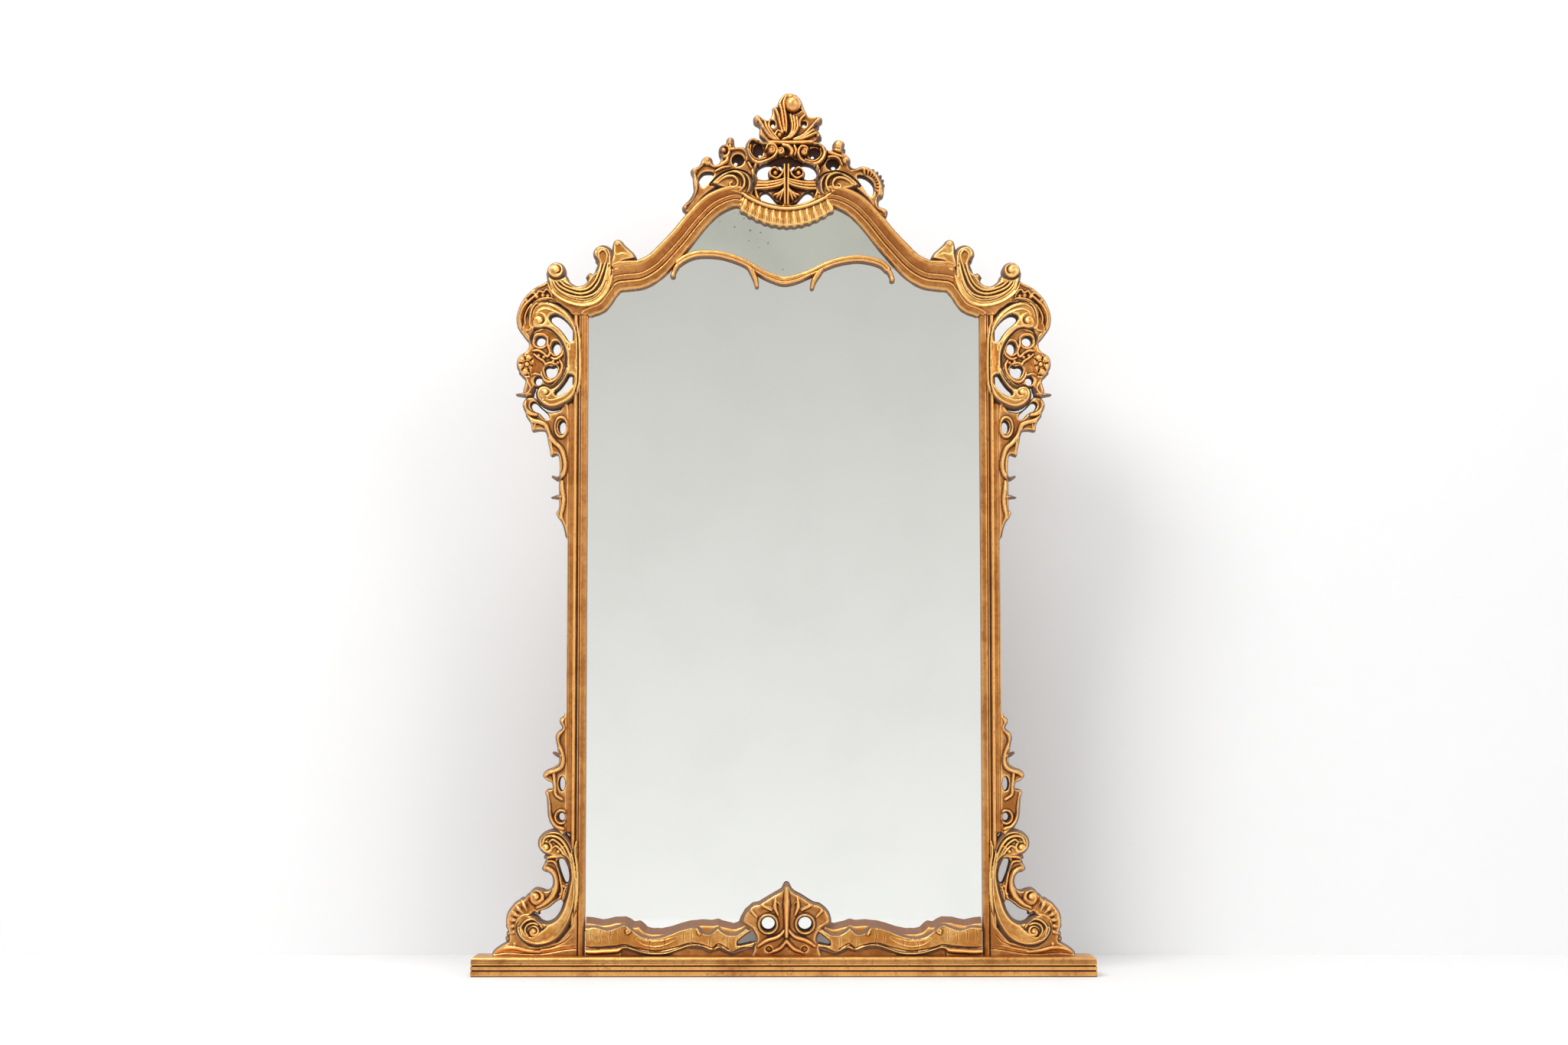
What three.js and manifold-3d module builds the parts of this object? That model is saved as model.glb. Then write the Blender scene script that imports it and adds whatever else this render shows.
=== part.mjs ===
// Giltwood pier mirror: a moulded frame with an arched head on a reeded plinth, pierced
// scroll carving down both sides and over the arch, and a two-pane glass with a carved bar.
// Millimetres, +Z up, front towards -Y, origin under the middle of the plinth.

import * as THREE from "three";
import { mergeVertices } from "three/addons/utils/BufferGeometryUtils.js";
import Module from "manifold-3d";

const wasm = await Module();
wasm.setup();

// Driving dimensions
const plinthWidth = 994;
const plinthDepth = 80;
const plinthHeight = 31;
const plinthEdge = 5; // bevel at the two ends of the plinth
const frameFront = -2; // y of the flat ground that the mouldings stand on
const frameBack = 28;
const lipBack = 12.5; // back of the lip that holds the glass
const glassThickness = 4;
const boardThickness = 10.8;
const rebate = 9; // how far the rebate runs outward from the sight line
const carvingBack = 22;
const clearance = 0.3; // between two pieces that touch
const draft = 2.5; // how far the foot of a carved stroke spreads on each side
const frameLift = -2.5; // the carvings are drawn from a line 2.5 above the floor
const foot = plinthHeight - frameLift + clearance; // underside of the frame, as drawn

// Colours
const gold = 0xc08a3e;
const paleGold = 0xd9a95a;
const redGold = 0xa8683a;
const paleRed = 0xb98a62;

function finish(color, roughness, metalness) {
  return new THREE.MeshStandardMaterial({ color, roughness, metalness });
}

// Solids and booleans

function solid(geometry) {
  geometry.deleteAttribute("normal");
  geometry.deleteAttribute("uv");
  const merged = mergeVertices(geometry, 1e-3);
  const vertProperties = merged.attributes.position.array;
  const triVerts = new Uint32Array(merged.index.array);
  const made = new wasm.Manifold(new wasm.Mesh({ numProp: 3, vertProperties, triVerts }));
  if (made.volume() > 0) return made;
  for (let i = 0; i < triVerts.length; i += 3) {
    [triVerts[i + 1], triVerts[i + 2]] = [triVerts[i + 2], triVerts[i + 1]];
  }
  return new wasm.Manifold(new wasm.Mesh({ numProp: 3, vertProperties, triVerts }));
}

function join(solids) {
  return solids.reduce((all, one) => all.add(one));
}

function cut(body, tools) {
  return tools.reduce((left, tool) => left.subtract(tool), body);
}

// The largest body that a cut leaves, without the crumbs beside it.
function whole(body) {
  const bodies = body.decompose();
  return bodies.reduce((most, one) => (one.volume() > most.volume() ? one : most));
}

// How far a triangle's third corner stands off its longest edge
function thickness(points, corners) {
  const [a, b, c] = corners.map((i) => new THREE.Vector3().fromArray(points, 3 * i));
  const longest = Math.max(a.distanceTo(b), b.distanceTo(c), c.distanceTo(a));
  return b.clone().sub(a).cross(c.clone().sub(a)).length() / longest;
}

// Swaps the long edge that a needle-thin triangle shares with its neighbour for the other
// diagonal of the two
function turnNeedles(points, triangles, thinnest = 0.02) {
  const owner = new Map();
  const edgesOf = (t) => [0, 1, 2].map((k) => `${triangles[t][k]} ${triangles[t][(k + 1) % 3]}`);
  triangles.forEach((_, t) => edgesOf(t).forEach((edge) => owner.set(edge, t)));
  triangles.forEach((corners, t) => {
    const thin = thickness(points, corners);
    if (thin > thinnest) return;
    const lengths = corners.map((from, k) => {
      const to = corners[(k + 1) % 3];
      return Math.hypot(...[0, 1, 2].map((axis) => points[3 * from + axis] - points[3 * to + axis]));
    });
    const k = lengths.indexOf(Math.max(...lengths));
    const [a, b, tip] = [corners[k], corners[(k + 1) % 3], corners[(k + 2) % 3]];
    const beside = owner.get(`${b} ${a}`);
    if (beside === undefined) return;
    const far = triangles[beside].find((corner) => corner !== a && corner !== b);
    if (owner.has(`${far} ${tip}`) || owner.has(`${tip} ${far}`)) return;
    const first = [a, far, tip];
    const second = [far, b, tip];
    if (Math.min(thickness(points, first), thickness(points, second)) <= thin) return;
    for (const old of [t, beside]) edgesOf(old).forEach((edge) => owner.delete(edge));
    triangles[t] = first;
    triangles[beside] = second;
    for (const made of [t, beside]) edgesOf(made).forEach((edge) => owner.set(edge, made));
  });
}

// The same body with its edges shorter than the limit drawn together to a point
function tidied(body, shortest = 0.06) {
  const { vertProperties, triVerts } = body.getMesh();
  const points = Float32Array.from(vertProperties);
  const same = points.map((_, i) => i).slice(0, points.length / 3);
  const rootOf = (i) => {
    let root = i;
    while (same[root] !== root) root = same[root];
    return root;
  };
  for (let i = 0; i < triVerts.length; i += 1) {
    const from = triVerts[i];
    const to = triVerts[i % 3 === 2 ? i - 2 : i + 1];
    const gap = [0, 1, 2].map((k) => points[3 * from + k] - points[3 * to + k]);
    if (Math.hypot(...gap) < shortest) same[rootOf(from)] = rootOf(to);
  }
  const kept = [];
  for (let i = 0; i < triVerts.length; i += 3) {
    const corners = [0, 1, 2].map((k) => rootOf(triVerts[i + k]));
    if (new Set(corners).size === 3) kept.push(corners);
  }
  for (let round = 0; round < 3; round += 1) turnNeedles(points, kept);
  try {
    const geometry = new THREE.BufferGeometry();
    geometry.setAttribute("position", new THREE.BufferAttribute(points, 3));
    geometry.setIndex(kept.flat());
    return solid(geometry.toNonIndexed());
  } catch {
    return shortest > 0.01 ? tidied(body, shortest / 2) : body;
  }
}

function geometryOf(made) {
  const body = tidied(made);
  const { vertProperties, triVerts } = body.getMesh();
  const geometry = new THREE.BufferGeometry();
  geometry.setAttribute("position", new THREE.BufferAttribute(vertProperties, 3));
  geometry.setIndex(new THREE.BufferAttribute(triVerts, 1));
  geometry.computeVertexNormals();
  return geometry;
}

// Outlines, as lists of [x, z] seen from the front

function mirrored(points) {
  return points.map(([x, z]) => [-x, z]).reverse();
}

function area(points) {
  return points.reduce((sum, [x, z], i) => {
    const [nextX, nextZ] = points[(i + 1) % points.length];
    return sum + (x * nextZ - nextX * z) / 2;
  }, 0);
}

function grown(points, by) {
  const turn = area(points) > 0 ? 1 : -1;
  const count = points.length;
  return points.map(([x, z], i) => {
    const [ax, az] = points[(i + count - 1) % count];
    const [bx, bz] = points[(i + 1) % count];
    const before = new THREE.Vector2(z - az, ax - x).normalize();
    const after = new THREE.Vector2(bz - z, x - bx).normalize();
    const way = before.add(after).normalize().multiplyScalar(by * turn);
    return [x + way.x, z + way.y];
  });
}

function shapeOf(points) {
  return new THREE.Shape(points.map(([x, z]) => new THREE.Vector2(x, z)));
}

// A slab with the outline seen from the front, from y = front back to y = back.
function slab(points, front, back, holes = []) {
  const shape = shapeOf(points);
  shape.holes = holes.map((hole) => new THREE.Path(shapeOf(hole).getPoints()));
  const geometry = new THREE.ExtrudeGeometry(shape, {
    depth: back - front,
    bevelEnabled: false,
    curveSegments: 1,
  });
  geometry.rotateX(Math.PI / 2);
  geometry.translate(0, back, 0);
  return solid(geometry);
}

function oval(x, z, radiusX, radiusZ, sides = 10) {
  const points = [];
  for (let i = 0; i < sides; i += 1) {
    const angle = (2 * Math.PI * i) / sides;
    points.push([x + radiusX * Math.cos(angle), z + radiusZ * Math.sin(angle)]);
  }
  return points;
}

// Cross-sections of a carved stroke: [across, height], -1 to 1 across and 1 at full height
const scooped = [[-1, 0.55], [-0.82, 1], [-0.1, 0.62], [0.82, 1], [1, 0.55]];
const rounded = [[-1, 0.5], [0, 1], [1, 0.5]];
const ridged = [[-1, 0.3], [0, 1], [1, 0.3]];
const boxed = [[-1, 1], [1, 1]]; // for the room that a stroke's neighbours leave

// A stroke follows [x, z, width, height] points. It is a box bent along their curve, with
// the section across its front and a foot that spreads by the draft.
function stroke(points, { section = rounded, steps = 1, back = carvingBack, grow = 0 } = {}) {
  const across = section.length - 1;
  const along = Math.max(1, Math.round((points.length - 1) * steps));
  const curve = new THREE.CatmullRomCurve3(
    points.map(([x, z]) => new THREE.Vector3(x, 0, z)),
    false,
    "centripetal",
  );
  const widths = (t, column) => {
    const place = t * (points.length - 1);
    const i = Math.min(points.length - 2, Math.floor(place));
    return THREE.MathUtils.lerp(points[i][column], points[i + 1][column], place - i);
  };
  const geometry = new THREE.BoxGeometry(1, 1, 1, along, across, 1);
  const position = geometry.attributes.position;
  for (let i = 0; i < position.count; i += 1) {
    const t = position.getX(i) + 0.5;
    const [side, height] = section[Math.round((position.getY(i) + 0.5) * across)];
    const front = position.getZ(i) > 0;
    const middle = curve.getPoint(t);
    const ahead = curve.getTangent(t);
    const half = widths(t, 2) / 2 + grow + (front ? 0 : draft);
    const y = front ? -(widths(t, 3) * height + grow) : back + grow;
    const slip = t === 0 ? -grow : t === 1 ? grow : 0;
    position.setXYZ(
      i,
      middle.x - ahead.z * side * half + ahead.x * slip,
      y,
      middle.z + ahead.x * side * half + ahead.z * slip,
    );
  }
  return solid(geometry);
}

// A turned body on a front-to-back axis, from a profile of [radius, y] points.
function turned(x, z, profile, sides = 8, stretch = 1) {
  const geometry = new THREE.LatheGeometry(
    profile.map(([radius, y]) => new THREE.Vector2(radius, y)),
    sides,
  );
  geometry.scale(1, 1, stretch);
  geometry.translate(x, 0, z);
  return solid(geometry);
}

// The room around a round feature
function drum(x, z, radius, height, { back, grow }, stretch = 1) {
  const sides = 8;
  const r = (radius + grow) / Math.cos(Math.PI / sides);
  const h = height + grow;
  const profile = [[0, back + grow], [r + draft, back + grow], [r, -h], [0, -h]];
  return turned(x, z, profile, sides, stretch);
}

function knob(x, z, radius, height, options) {
  const { back, grow } = options;
  if (grow > 0) return drum(x, z, radius, height, options);
  const profile = [
    [0, back], [radius + draft * 0.6, back], [radius * 0.8, -height * 0.8], [0, -height],
  ];
  return turned(x, z, profile, 6);
}

// The coiled end of a scroll: a rim, a groove and a raised eye
function eye(x, z, radius, height, options) {
  const { back, grow } = options;
  if (grow > 0) return drum(x, z, radius, height, options);
  const profile = [
    [0, back], [radius + draft * 0.6, back], [radius * 0.9, -height * 0.9],
    [radius * 0.55, -height * 0.55], [0, -height],
  ];
  return turned(x, z, profile, 8);
}

function ring(x, z, radiusX, radiusZ, width, height, options) {
  const { back, grow } = options;
  const outer = radiusX + width / 2;
  const stretch = radiusZ / radiusX;
  if (grow > 0) return drum(x, z, outer, height, options, stretch);
  const profile = [
    [outer + draft * 0.6, back], [outer, -height * 0.7], [radiusX, -height],
    [radiusX - width / 2, Math.min(0, back - 1)], [radiusX - width / 2, back],
  ];
  return turned(x, z, [...profile, profile[0]], 8, stretch);
}

// Everything behind y = back, which planes the back of a piece flat
function behind(back) {
  const geometry = new THREE.BoxGeometry(1200, 100, 1600);
  geometry.translate(0, back + 50, 700);
  return solid(geometry);
}

// A carved piece: grounds (flat slabs), strokes, knobs, eyes and rings joined, then pierced.
// With grow it is the room that its neighbours leave for it.
function carve(piece, grow = 0) {
  const { back = carvingBack, ground = -3 } = piece;
  const options = { back: piece.grounds ? ground + 1.5 : back + 3, grow };
  const sections = grow > 0 ? [boxed, boxed, boxed] : [scooped, rounded, ridged];
  const solids = [];
  for (const outline of piece.grounds ?? []) {
    solids.push(slab(grow > 0 ? grown(outline, grow) : outline, ground - grow, back + grow));
  }
  for (const one of piece.scoops ?? []) {
    solids.push(stroke(one, { ...options, section: sections[0], steps: 0.72 }));
  }
  for (const one of piece.rolls ?? []) {
    solids.push(stroke(one, { ...options, section: sections[1], steps: 0.6 }));
  }
  for (const one of piece.veins ?? []) {
    solids.push(stroke(one, { ...options, section: sections[2], steps: 0.5 }));
  }
  for (const one of piece.knobs ?? []) solids.push(knob(...one, options));
  for (const one of piece.eyes ?? []) solids.push(eye(...one, options));
  for (const one of piece.rings ?? []) solids.push(ring(...one, options));
  const body = join(solids);
  if (grow > 0) return body;
  const flat = piece.grounds ? body : body.subtract(behind(back));
  const pierced = cut(flat, (piece.holes ?? []).map((hole) => slab(hole, -40, 60)));
  return cut(pierced, (piece.pockets ?? []).map((hole) => slab(hole, -40, 16)));
}

// The sight line of the opening, left half from the foot of the stile to the crown

const sightLeft = [
  [-316, 70], [-316, 1066], [-300, 1071], [-290, 1077], [-283, 1085], [-275, 1097],
  [-265, 1109], [-250, 1109], [-230, 1112], [-210, 1123], [-190, 1139], [-165, 1166],
  [-150, 1184], [-130, 1210], [-110, 1231], [-95, 1241], [-80, 1247],
];
const crown = [[-62, 1236], [-30, 1226], [5, 1222], [38, 1226], [66, 1237]];
const opening = [...sightLeft, ...crown, ...mirrored(sightLeft)];

function behindSight(by) {
  return grown(opening, by).map(([x, z]) => [x, Math.max(z, 70.5 - by * 0.05)]);
}

const rebateRoom = slab(behindSight(rebate), lipBack, 60);

// Frame: stiles, shoulders, arch and bottom rail

const stileProfile = [
  [-316, frameBack], [-316, 1], [-318, -2.5], [-326, -4], [-327, -1], [-330, -1],
  [-331.5, -6], [-335, -7.5], [-338.5, -6], [-340, -1.5], [-340, frameBack],
];
const panelProfile = [
  [-339, frameBack], [-339, -2], [-341, -2], [-342.5, -5], [-348, -5], [-350, -2.5],
  [-350, frameBack],
];

function upright(profile, low, high) {
  const geometry = new THREE.ExtrudeGeometry(shapeOf(profile), {
    depth: high - low,
    bevelEnabled: false,
  });
  geometry.translate(0, 0, low);
  return solid(geometry);
}

// The box around an upright
function uprightRoom(profile, low, high) {
  const xs = profile.map(([x]) => x);
  const left = Math.min(...xs) - clearance;
  const right = Math.max(...xs) + clearance;
  const front = Math.min(...profile.map(([, y]) => y)) - clearance;
  const bottom = low - clearance;
  const top = high + clearance;
  const outline = [[left, bottom], [right, bottom], [right, top], [left, top]];
  return slab(outline, front, frameBack + clearance);
}

const stileSpan = [foot, 1066];
const panelSpan = [226, 925];

const pilotRadius = 1.9;
const buttonHeights = [300, 640, 900];
const buttonPivot = -333;
const strapX = -337.5;
const strapLow = 800;
const screwRise = [6, 20]; // heights of the strap's screws above its lower end

function boreY(x, z, radius, front, back) {
  const geometry = new THREE.CylinderGeometry(radius, radius, back - front, 8);
  geometry.translate(x, (front + back) / 2, z);
  return solid(geometry);
}

const pilots = [
  ...buttonHeights.map((z) => boreY(buttonPivot, z, pilotRadius, 16, 60)),
  ...screwRise.map((rise) => boreY(strapX, strapLow + rise, pilotRadius, 16, 60)),
];
const stileBody = upright(stileProfile, ...stileSpan).add(upright(panelProfile, ...panelSpan));
const stile = cut(stileBody, [rebateRoom, ...pilots]);

// The arch moulding is a box bent along the sight line, with this section going outward
const archSection = [
  [0, 3], [0.17, 6], [0.22, 9.5], [0.28, 4.5], [0.36, 6], [0.42, 9.5], [0.46, 4.5],
  [0.62, 5], [0.82, 12.5], [1, 2],
];
const archPath = [
  [-265, 1109, 47], [-250, 1109, 49], [-230, 1112.5, 47], [-210, 1122, 44], [-190, 1138, 41],
  [-165, 1166, 39], [-150, 1184, 38], [-130, 1210, 38], [-110, 1231, 38], [-95, 1241, 38],
  [-80, 1247, 36], [-70, 1246, 34],
];

function archBody(grow) {
  const across = archSection.length - 1;
  const along = 15;
  const curve = new THREE.CatmullRomCurve3(
    archPath.map(([x, z]) => new THREE.Vector3(x, 0, z)),
    false,
    "centripetal",
  );
  const geometry = new THREE.BoxGeometry(1, 1, 1, along, across, 1);
  const position = geometry.attributes.position;
  for (let i = 0; i < position.count; i += 1) {
    const t = position.getX(i) + 0.5;
    const [out, height] = archSection[Math.round((position.getY(i) + 0.5) * across)];
    const place = t * (archPath.length - 1);
    const k = Math.min(archPath.length - 2, Math.floor(place));
    const wide = THREE.MathUtils.lerp(archPath[k][2], archPath[k + 1][2], place - k);
    const middle = curve.getPoint(t);
    const ahead = curve.getTangent(t);
    if (t === 0) middle.addScaledVector(ahead, -grow);
    if (t === 1) middle.addScaledVector(ahead, grow);
    if (t === 0) ahead.set(0.87, 0, 0.5); // square to the mitre
    const offset = out * wide + (out === 0 ? -grow : out === 1 ? grow : 0);
    const front = position.getZ(i) > 0;
    position.setXYZ(
      i,
      middle.x - ahead.z * offset,
      front ? -height - grow : frameBack + 3 + grow,
      middle.z + ahead.x * offset,
    );
  }
  return solid(geometry);
}

const arch = cut(archBody(0), [rebateRoom, behind(frameBack)]);

const shoulderPiece = {
  back: frameBack,
  ground: frameFront,
  grounds: [[
    [-340, 1066.4], [-316, 1066.4], [-300, 1071], [-290, 1077], [-283, 1085], [-275, 1097],
    [-266, 1109.6], [-274, 1124], [-280, 1136], [-300, 1112], [-326, 1100], [-352, 1102],
    [-374, 1112], [-384, 1098], [-376, 1091], [-362, 1085], [-351, 1076], [-344, 1067],
  ]],
  rolls: [[
    [-334, 1067.5, 8, 7], [-333, 1075, 7, 7], [-318, 1078, 6, 7], [-303, 1083, 5, 7],
    [-292, 1091, 5, 7], [-283, 1103, 5, 7], [-275, 1117, 5, 7],
  ]],
};

function shoulderBody(grow) {
  const below = slab([[-400, 1000], [-200, 1000], [-200, 1066.3], [-400, 1066.3]], -40, 60);
  return cut(carve(shoulderPiece, grow), grow > 0 ? [] : [below]);
}

const shoulder = whole(cut(shoulderBody(0), [rebateRoom, archBody(clearance)]));

const railTopLeft = [
  [-315.7, 94], [-305, 93], [-290, 90], [-282, 91], [-270, 94], [-253, 94.5], [-245, 91],
  [-239, 87], [-230, 88], [-224, 84], [-218, 78], [-210, 76], [-195, 76], [-180, 79],
  [-165, 84], [-150, 88], [-130, 90], [-115, 89], [-105, 91], [-97, 88], [-80, 84],
  [-72, 87], [-69, 95], [-62, 107], [-50, 117], [-40, 119], [-20, 131], [-6, 139],
];
const railOutline = [
  [-315.7, foot], ...railTopLeft, [3, 146], ...mirrored(railTopLeft), [315.7, foot],
];
const windowLeft = [[-72, 51], [-69, 58], [-57, 66], [-51, 66], [-44, 58], [-66, 50.5]];
const palmetteRingLeft = oval(-25, 84, 12.5, 12.5, 12);
const palmetteRingRight = oval(34, 84, 12.5, 12.5, 12);
const rail = cut(slab(railOutline, frameFront, frameBack), [
  rebateRoom,
  slab(windowLeft, -40, 16),
  slab(mirrored(windowLeft), -40, 16),
  slab(palmetteRingLeft, -40, lipBack + 0.5),
  slab(palmetteRingRight, -40, lipBack + 0.5),
]);

// Carvings at the head of each side, drawn for the left

const earScroll = {
  scoops: [
    [
      [-377, 1127, 15, 12], [-368, 1111, 22, 13], [-350, 1100, 28, 15], [-331, 1097, 31, 16],
      [-312, 1102, 33, 16], [-297, 1117, 29, 16], [-289, 1136, 23, 15], [-285, 1153, 20, 14],
      [-284, 1168, 16, 12],
    ],
  ],
  rolls: [
    [[-320, 1131, 8, 9], [-313, 1126, 9, 12], [-306, 1132, 9, 13], [-301, 1146, 6, 10]],
  ],
  eyes: [[-371, 1139, 16, 14], [-297, 1168, 15.5, 13]],
};

const shoulderLeaf = {
  grounds: [[
    [-283, 1148], [-281, 1170], [-277, 1185], [-271, 1192], [-262, 1180], [-250, 1174],
    [-243, 1167], [-255, 1150], [-270, 1140],
  ]],
  veins: [[[-276, 1152, 9, 9], [-272, 1170, 8, 10], [-271, 1188, 3, 6]]],
};

const cornerScroll = {
  scoops: [
    [
      [-409, 1052, 9, 9], [-408, 1067, 13, 11], [-399, 1078, 16, 13], [-384, 1081, 16, 14],
      [-366, 1075, 14, 14], [-351, 1062, 13, 15], [-342, 1041, 14, 15], [-343, 1012, 22, 15],
      [-343, 985, 22, 15], [-344, 958, 15, 15], [-349, 942, 13, 14], [-360, 929, 14, 14],
      [-376, 923, 14, 13], [-391, 928, 11, 12], [-397, 938, 7, 10],
    ],
  ],
  rolls: [
    [
      [-390, 1046, 8, 9], [-376, 1045, 10, 11], [-362, 1033, 11, 12], [-353, 1017, 12, 13],
      [-350, 1000, 12, 13],
    ],
    [[-352, 975, 10, 12], [-357, 963, 10, 12], [-367, 950, 9, 11], [-376, 942, 9, 10]],
  ],
  eyes: [[-397, 1057, 14, 14], [-387, 939, 11, 13]],
};

const cornerVine = {
  grounds: [[
    [-405, 1012], [-408, 1030], [-404, 1041], [-394, 1044], [-382, 1044], [-371, 1034],
    [-361, 1020], [-356, 1003], [-356, 985], [-360, 968], [-368, 955], [-378, 946],
    [-390, 951], [-402, 948], [-410, 958], [-405, 975], [-400, 990], [-404, 1003],
  ]],
  rolls: [
    [
      [-405, 1006, 7, 8], [-396, 1003, 9, 10], [-387, 999, 9, 11], [-377, 993, 9, 11],
      [-367, 990, 8, 10],
    ],
    [
      [-393, 970, 6, 9], [-389, 961, 7, 11], [-379, 957, 8, 12], [-368, 962, 8, 12],
      [-362, 974, 7, 11], [-360, 988, 6, 9],
    ],
  ],
  rings: [[-396, 1024, 9.5, 10, 4, 9], [-371, 1012, 8.5, 11.5, 4, 10]],
  knobs: [[-396, 990, 5, 11], [-372, 982, 4, 10]],
  holes: [
    oval(-396, 1024, 7, 7), oval(-371, 1012, 6, 9), oval(-381, 974, 7, 8, 8),
    oval(-399, 959, 5.5, 6, 8),
  ],
};

function petals(x, z, reach, radius, height, count, start) {
  const list = [];
  for (let i = 0; i < count; i += 1) {
    const angle = start + (2 * Math.PI * i) / count;
    list.push([x + reach * Math.cos(angle), z + reach * Math.sin(angle), radius, height]);
  }
  return list;
}

const cornerLeaf = {
  grounds: [[
    [-383, 1129], [-388, 1122], [-400, 1116], [-412, 1108], [-422, 1098], [-430, 1085],
    [-435, 1070], [-436, 1058], [-433, 1045], [-427, 1036], [-421, 1028], [-416, 1022],
    [-416, 1013], [-421, 1007], [-432, 999], [-435, 985], [-429, 970], [-421, 960],
    [-422, 951], [-424, 944], [-420, 932], [-412, 934], [-404, 949], [-410, 960],
    [-405, 976], [-400, 991], [-402, 1004], [-402, 1014], [-404, 1031], [-400, 1042],
    [-395, 1060], [-396, 1084], [-380, 1088], [-366, 1094], [-372, 1106], [-379, 1118],
  ]],
  rolls: [
    [
      [-423, 1044, 5, 8], [-427, 1057, 7, 10], [-425, 1073, 8, 12], [-416, 1087, 9, 12],
      [-404, 1099, 9, 12], [-391, 1107, 8, 11], [-382, 1115, 5, 9],
    ],
    [[-415, 1056, 4, 10], [-417, 1066, 4, 12], [-411, 1080, 4, 12], [-404, 1087, 4, 11]],
    [[-420, 960, 7, 9], [-413, 950, 8, 11], [-409, 941, 7, 10]],
  ],
  veins: [[[-411, 937, 10, 9], [-423, 937, 8, 8], [-435, 937, 2.5, 5]]],
  knobs: [
    [-400, 1096, 5, 14], [-389, 1100, 5, 13], ...petals(-417, 985, 11, 6.5, 12, 5, 0.3),
    [-417, 985, 4, 15],
  ],
};

const leafDrop = {
  grounds: [[
    [-420, 930], [-425, 920], [-421, 909], [-418, 900], [-411, 888], [-409, 877],
    [-399, 878], [-389, 877], [-385, 870], [-383, 858], [-380, 845], [-378, 836],
    [-367, 838], [-364, 820], [-365, 790], [-365, 752], [-369, 745], [-366, 736],
    [-360, 728], [-355, 716], [-351, 702], [-348, 702], [-348, 912], [-366, 910],
    [-380, 908], [-392, 915], [-403, 930], [-411, 933],
  ]],
  rolls: [
    [[-419, 926, 6, 9], [-419, 913, 8, 11], [-410, 905, 7, 11], [-401, 903, 5, 8]],
    [
      [-417, 902, 5, 7], [-407, 894, 8, 10], [-395, 891, 8, 12], [-386, 886, 8, 12],
      [-380, 870, 8, 11], [-371, 858, 8, 12], [-361, 848, 8, 13], [-355, 832, 7, 13],
      [-354, 817, 7, 13], [-358, 805, 8, 12], [-367, 800, 7, 11], [-375, 803, 4, 8],
    ],
    [
      [-359, 794, 6, 9], [-358, 780, 7, 11], [-356, 765, 7, 11], [-358, 750, 7, 10],
      [-360, 738, 6, 9], [-355, 722, 5, 8], [-352.5, 705, 2.5, 5],
    ],
  ],
  veins: [
    [[-360, 770, 8, 9], [-369, 770, 6, 8], [-377, 769, 2, 5]],
    [[-402, 894, 10, 8], [-405, 881, 6, 5]],
    [[-378, 862, 7, 8], [-375, 841, 6, 5]],
  ],
  rings: [[-361, 883, 10, 16, 5, 11]],
  holes: [
    [
      [-411, 920], [-405, 924], [-395, 915], [-384, 905], [-382, 898], [-388, 897],
      [-397, 906], [-407, 911],
    ],
    oval(-359.5, 883, 5.5, 10, 10),
  ],
};

// Carvings at the foot of each side, drawn for the left

const stileSpray = {
  grounds: [[
    [-348, 416], [-355, 415], [-361, 411], [-361, 405], [-357, 397], [-361, 393],
    [-366, 388], [-368, 380], [-366, 370], [-364, 358], [-362, 341], [-370, 334],
    [-380, 330], [-386, 325], [-387, 318], [-380, 311], [-374, 309], [-372, 300],
    [-380, 298], [-384, 292], [-381, 284], [-380, 270], [-379, 255], [-376, 245],
    [-370, 236], [-364, 231], [-348, 231],
  ]],
  rolls: [
    [
      [-379, 292, 5, 8], [-377, 272, 7, 11], [-375, 254, 7, 12], [-366, 240, 7, 13],
      [-354, 235, 7, 13],
    ],
    [
      [-354, 412, 5, 7], [-357, 404, 6, 10], [-354, 395, 5, 10], [-362, 384, 6, 12],
      [-363, 373, 6, 12], [-357, 360, 6, 12], [-354, 346, 6, 12], [-357, 334, 7, 13],
      [-366, 328, 7, 13], [-376, 325, 7, 12], [-383, 320, 6, 9],
    ],
    [[-355, 352, 6, 11], [-363, 352, 6, 10], [-370, 356, 4, 7]],
    [[-369, 322, 5, 10], [-367, 305, 5, 12], [-366, 290, 6, 12], [-356, 282, 6, 11]],
  ],
  rings: [[-357, 254, 9.5, 10.5, 4, 11]],
  holes: [oval(-356.5, 307, 4.5, 11, 10), oval(-357, 254, 5, 6, 10)],
};

const lowerScroll = {
  scoops: [
    [
      [-391, 202, 8, 10], [-391, 214, 12, 12], [-383, 223, 15, 14], [-369, 226, 16, 16],
      [-355, 220, 17, 17], [-346, 207, 16, 18], [-340, 189, 14, 18], [-337, 168, 14, 18],
      [-338, 146, 14, 18], [-338, 122, 13, 18], [-341, 101, 15, 18], [-349, 83, 20, 18],
      [-363, 67, 24, 18], [-382, 60, 24, 18], [-400, 59, 18, 18], [-414, 67, 13, 17],
      [-421, 79, 9, 15], [-417, 90, 8, 13], [-407, 92, 6, 11],
    ],
  ],
  eyes: [[-379, 207, 13, 16], [-356, 200, 8, 18], [-400, 73, 12.5, 19]],
};

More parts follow.
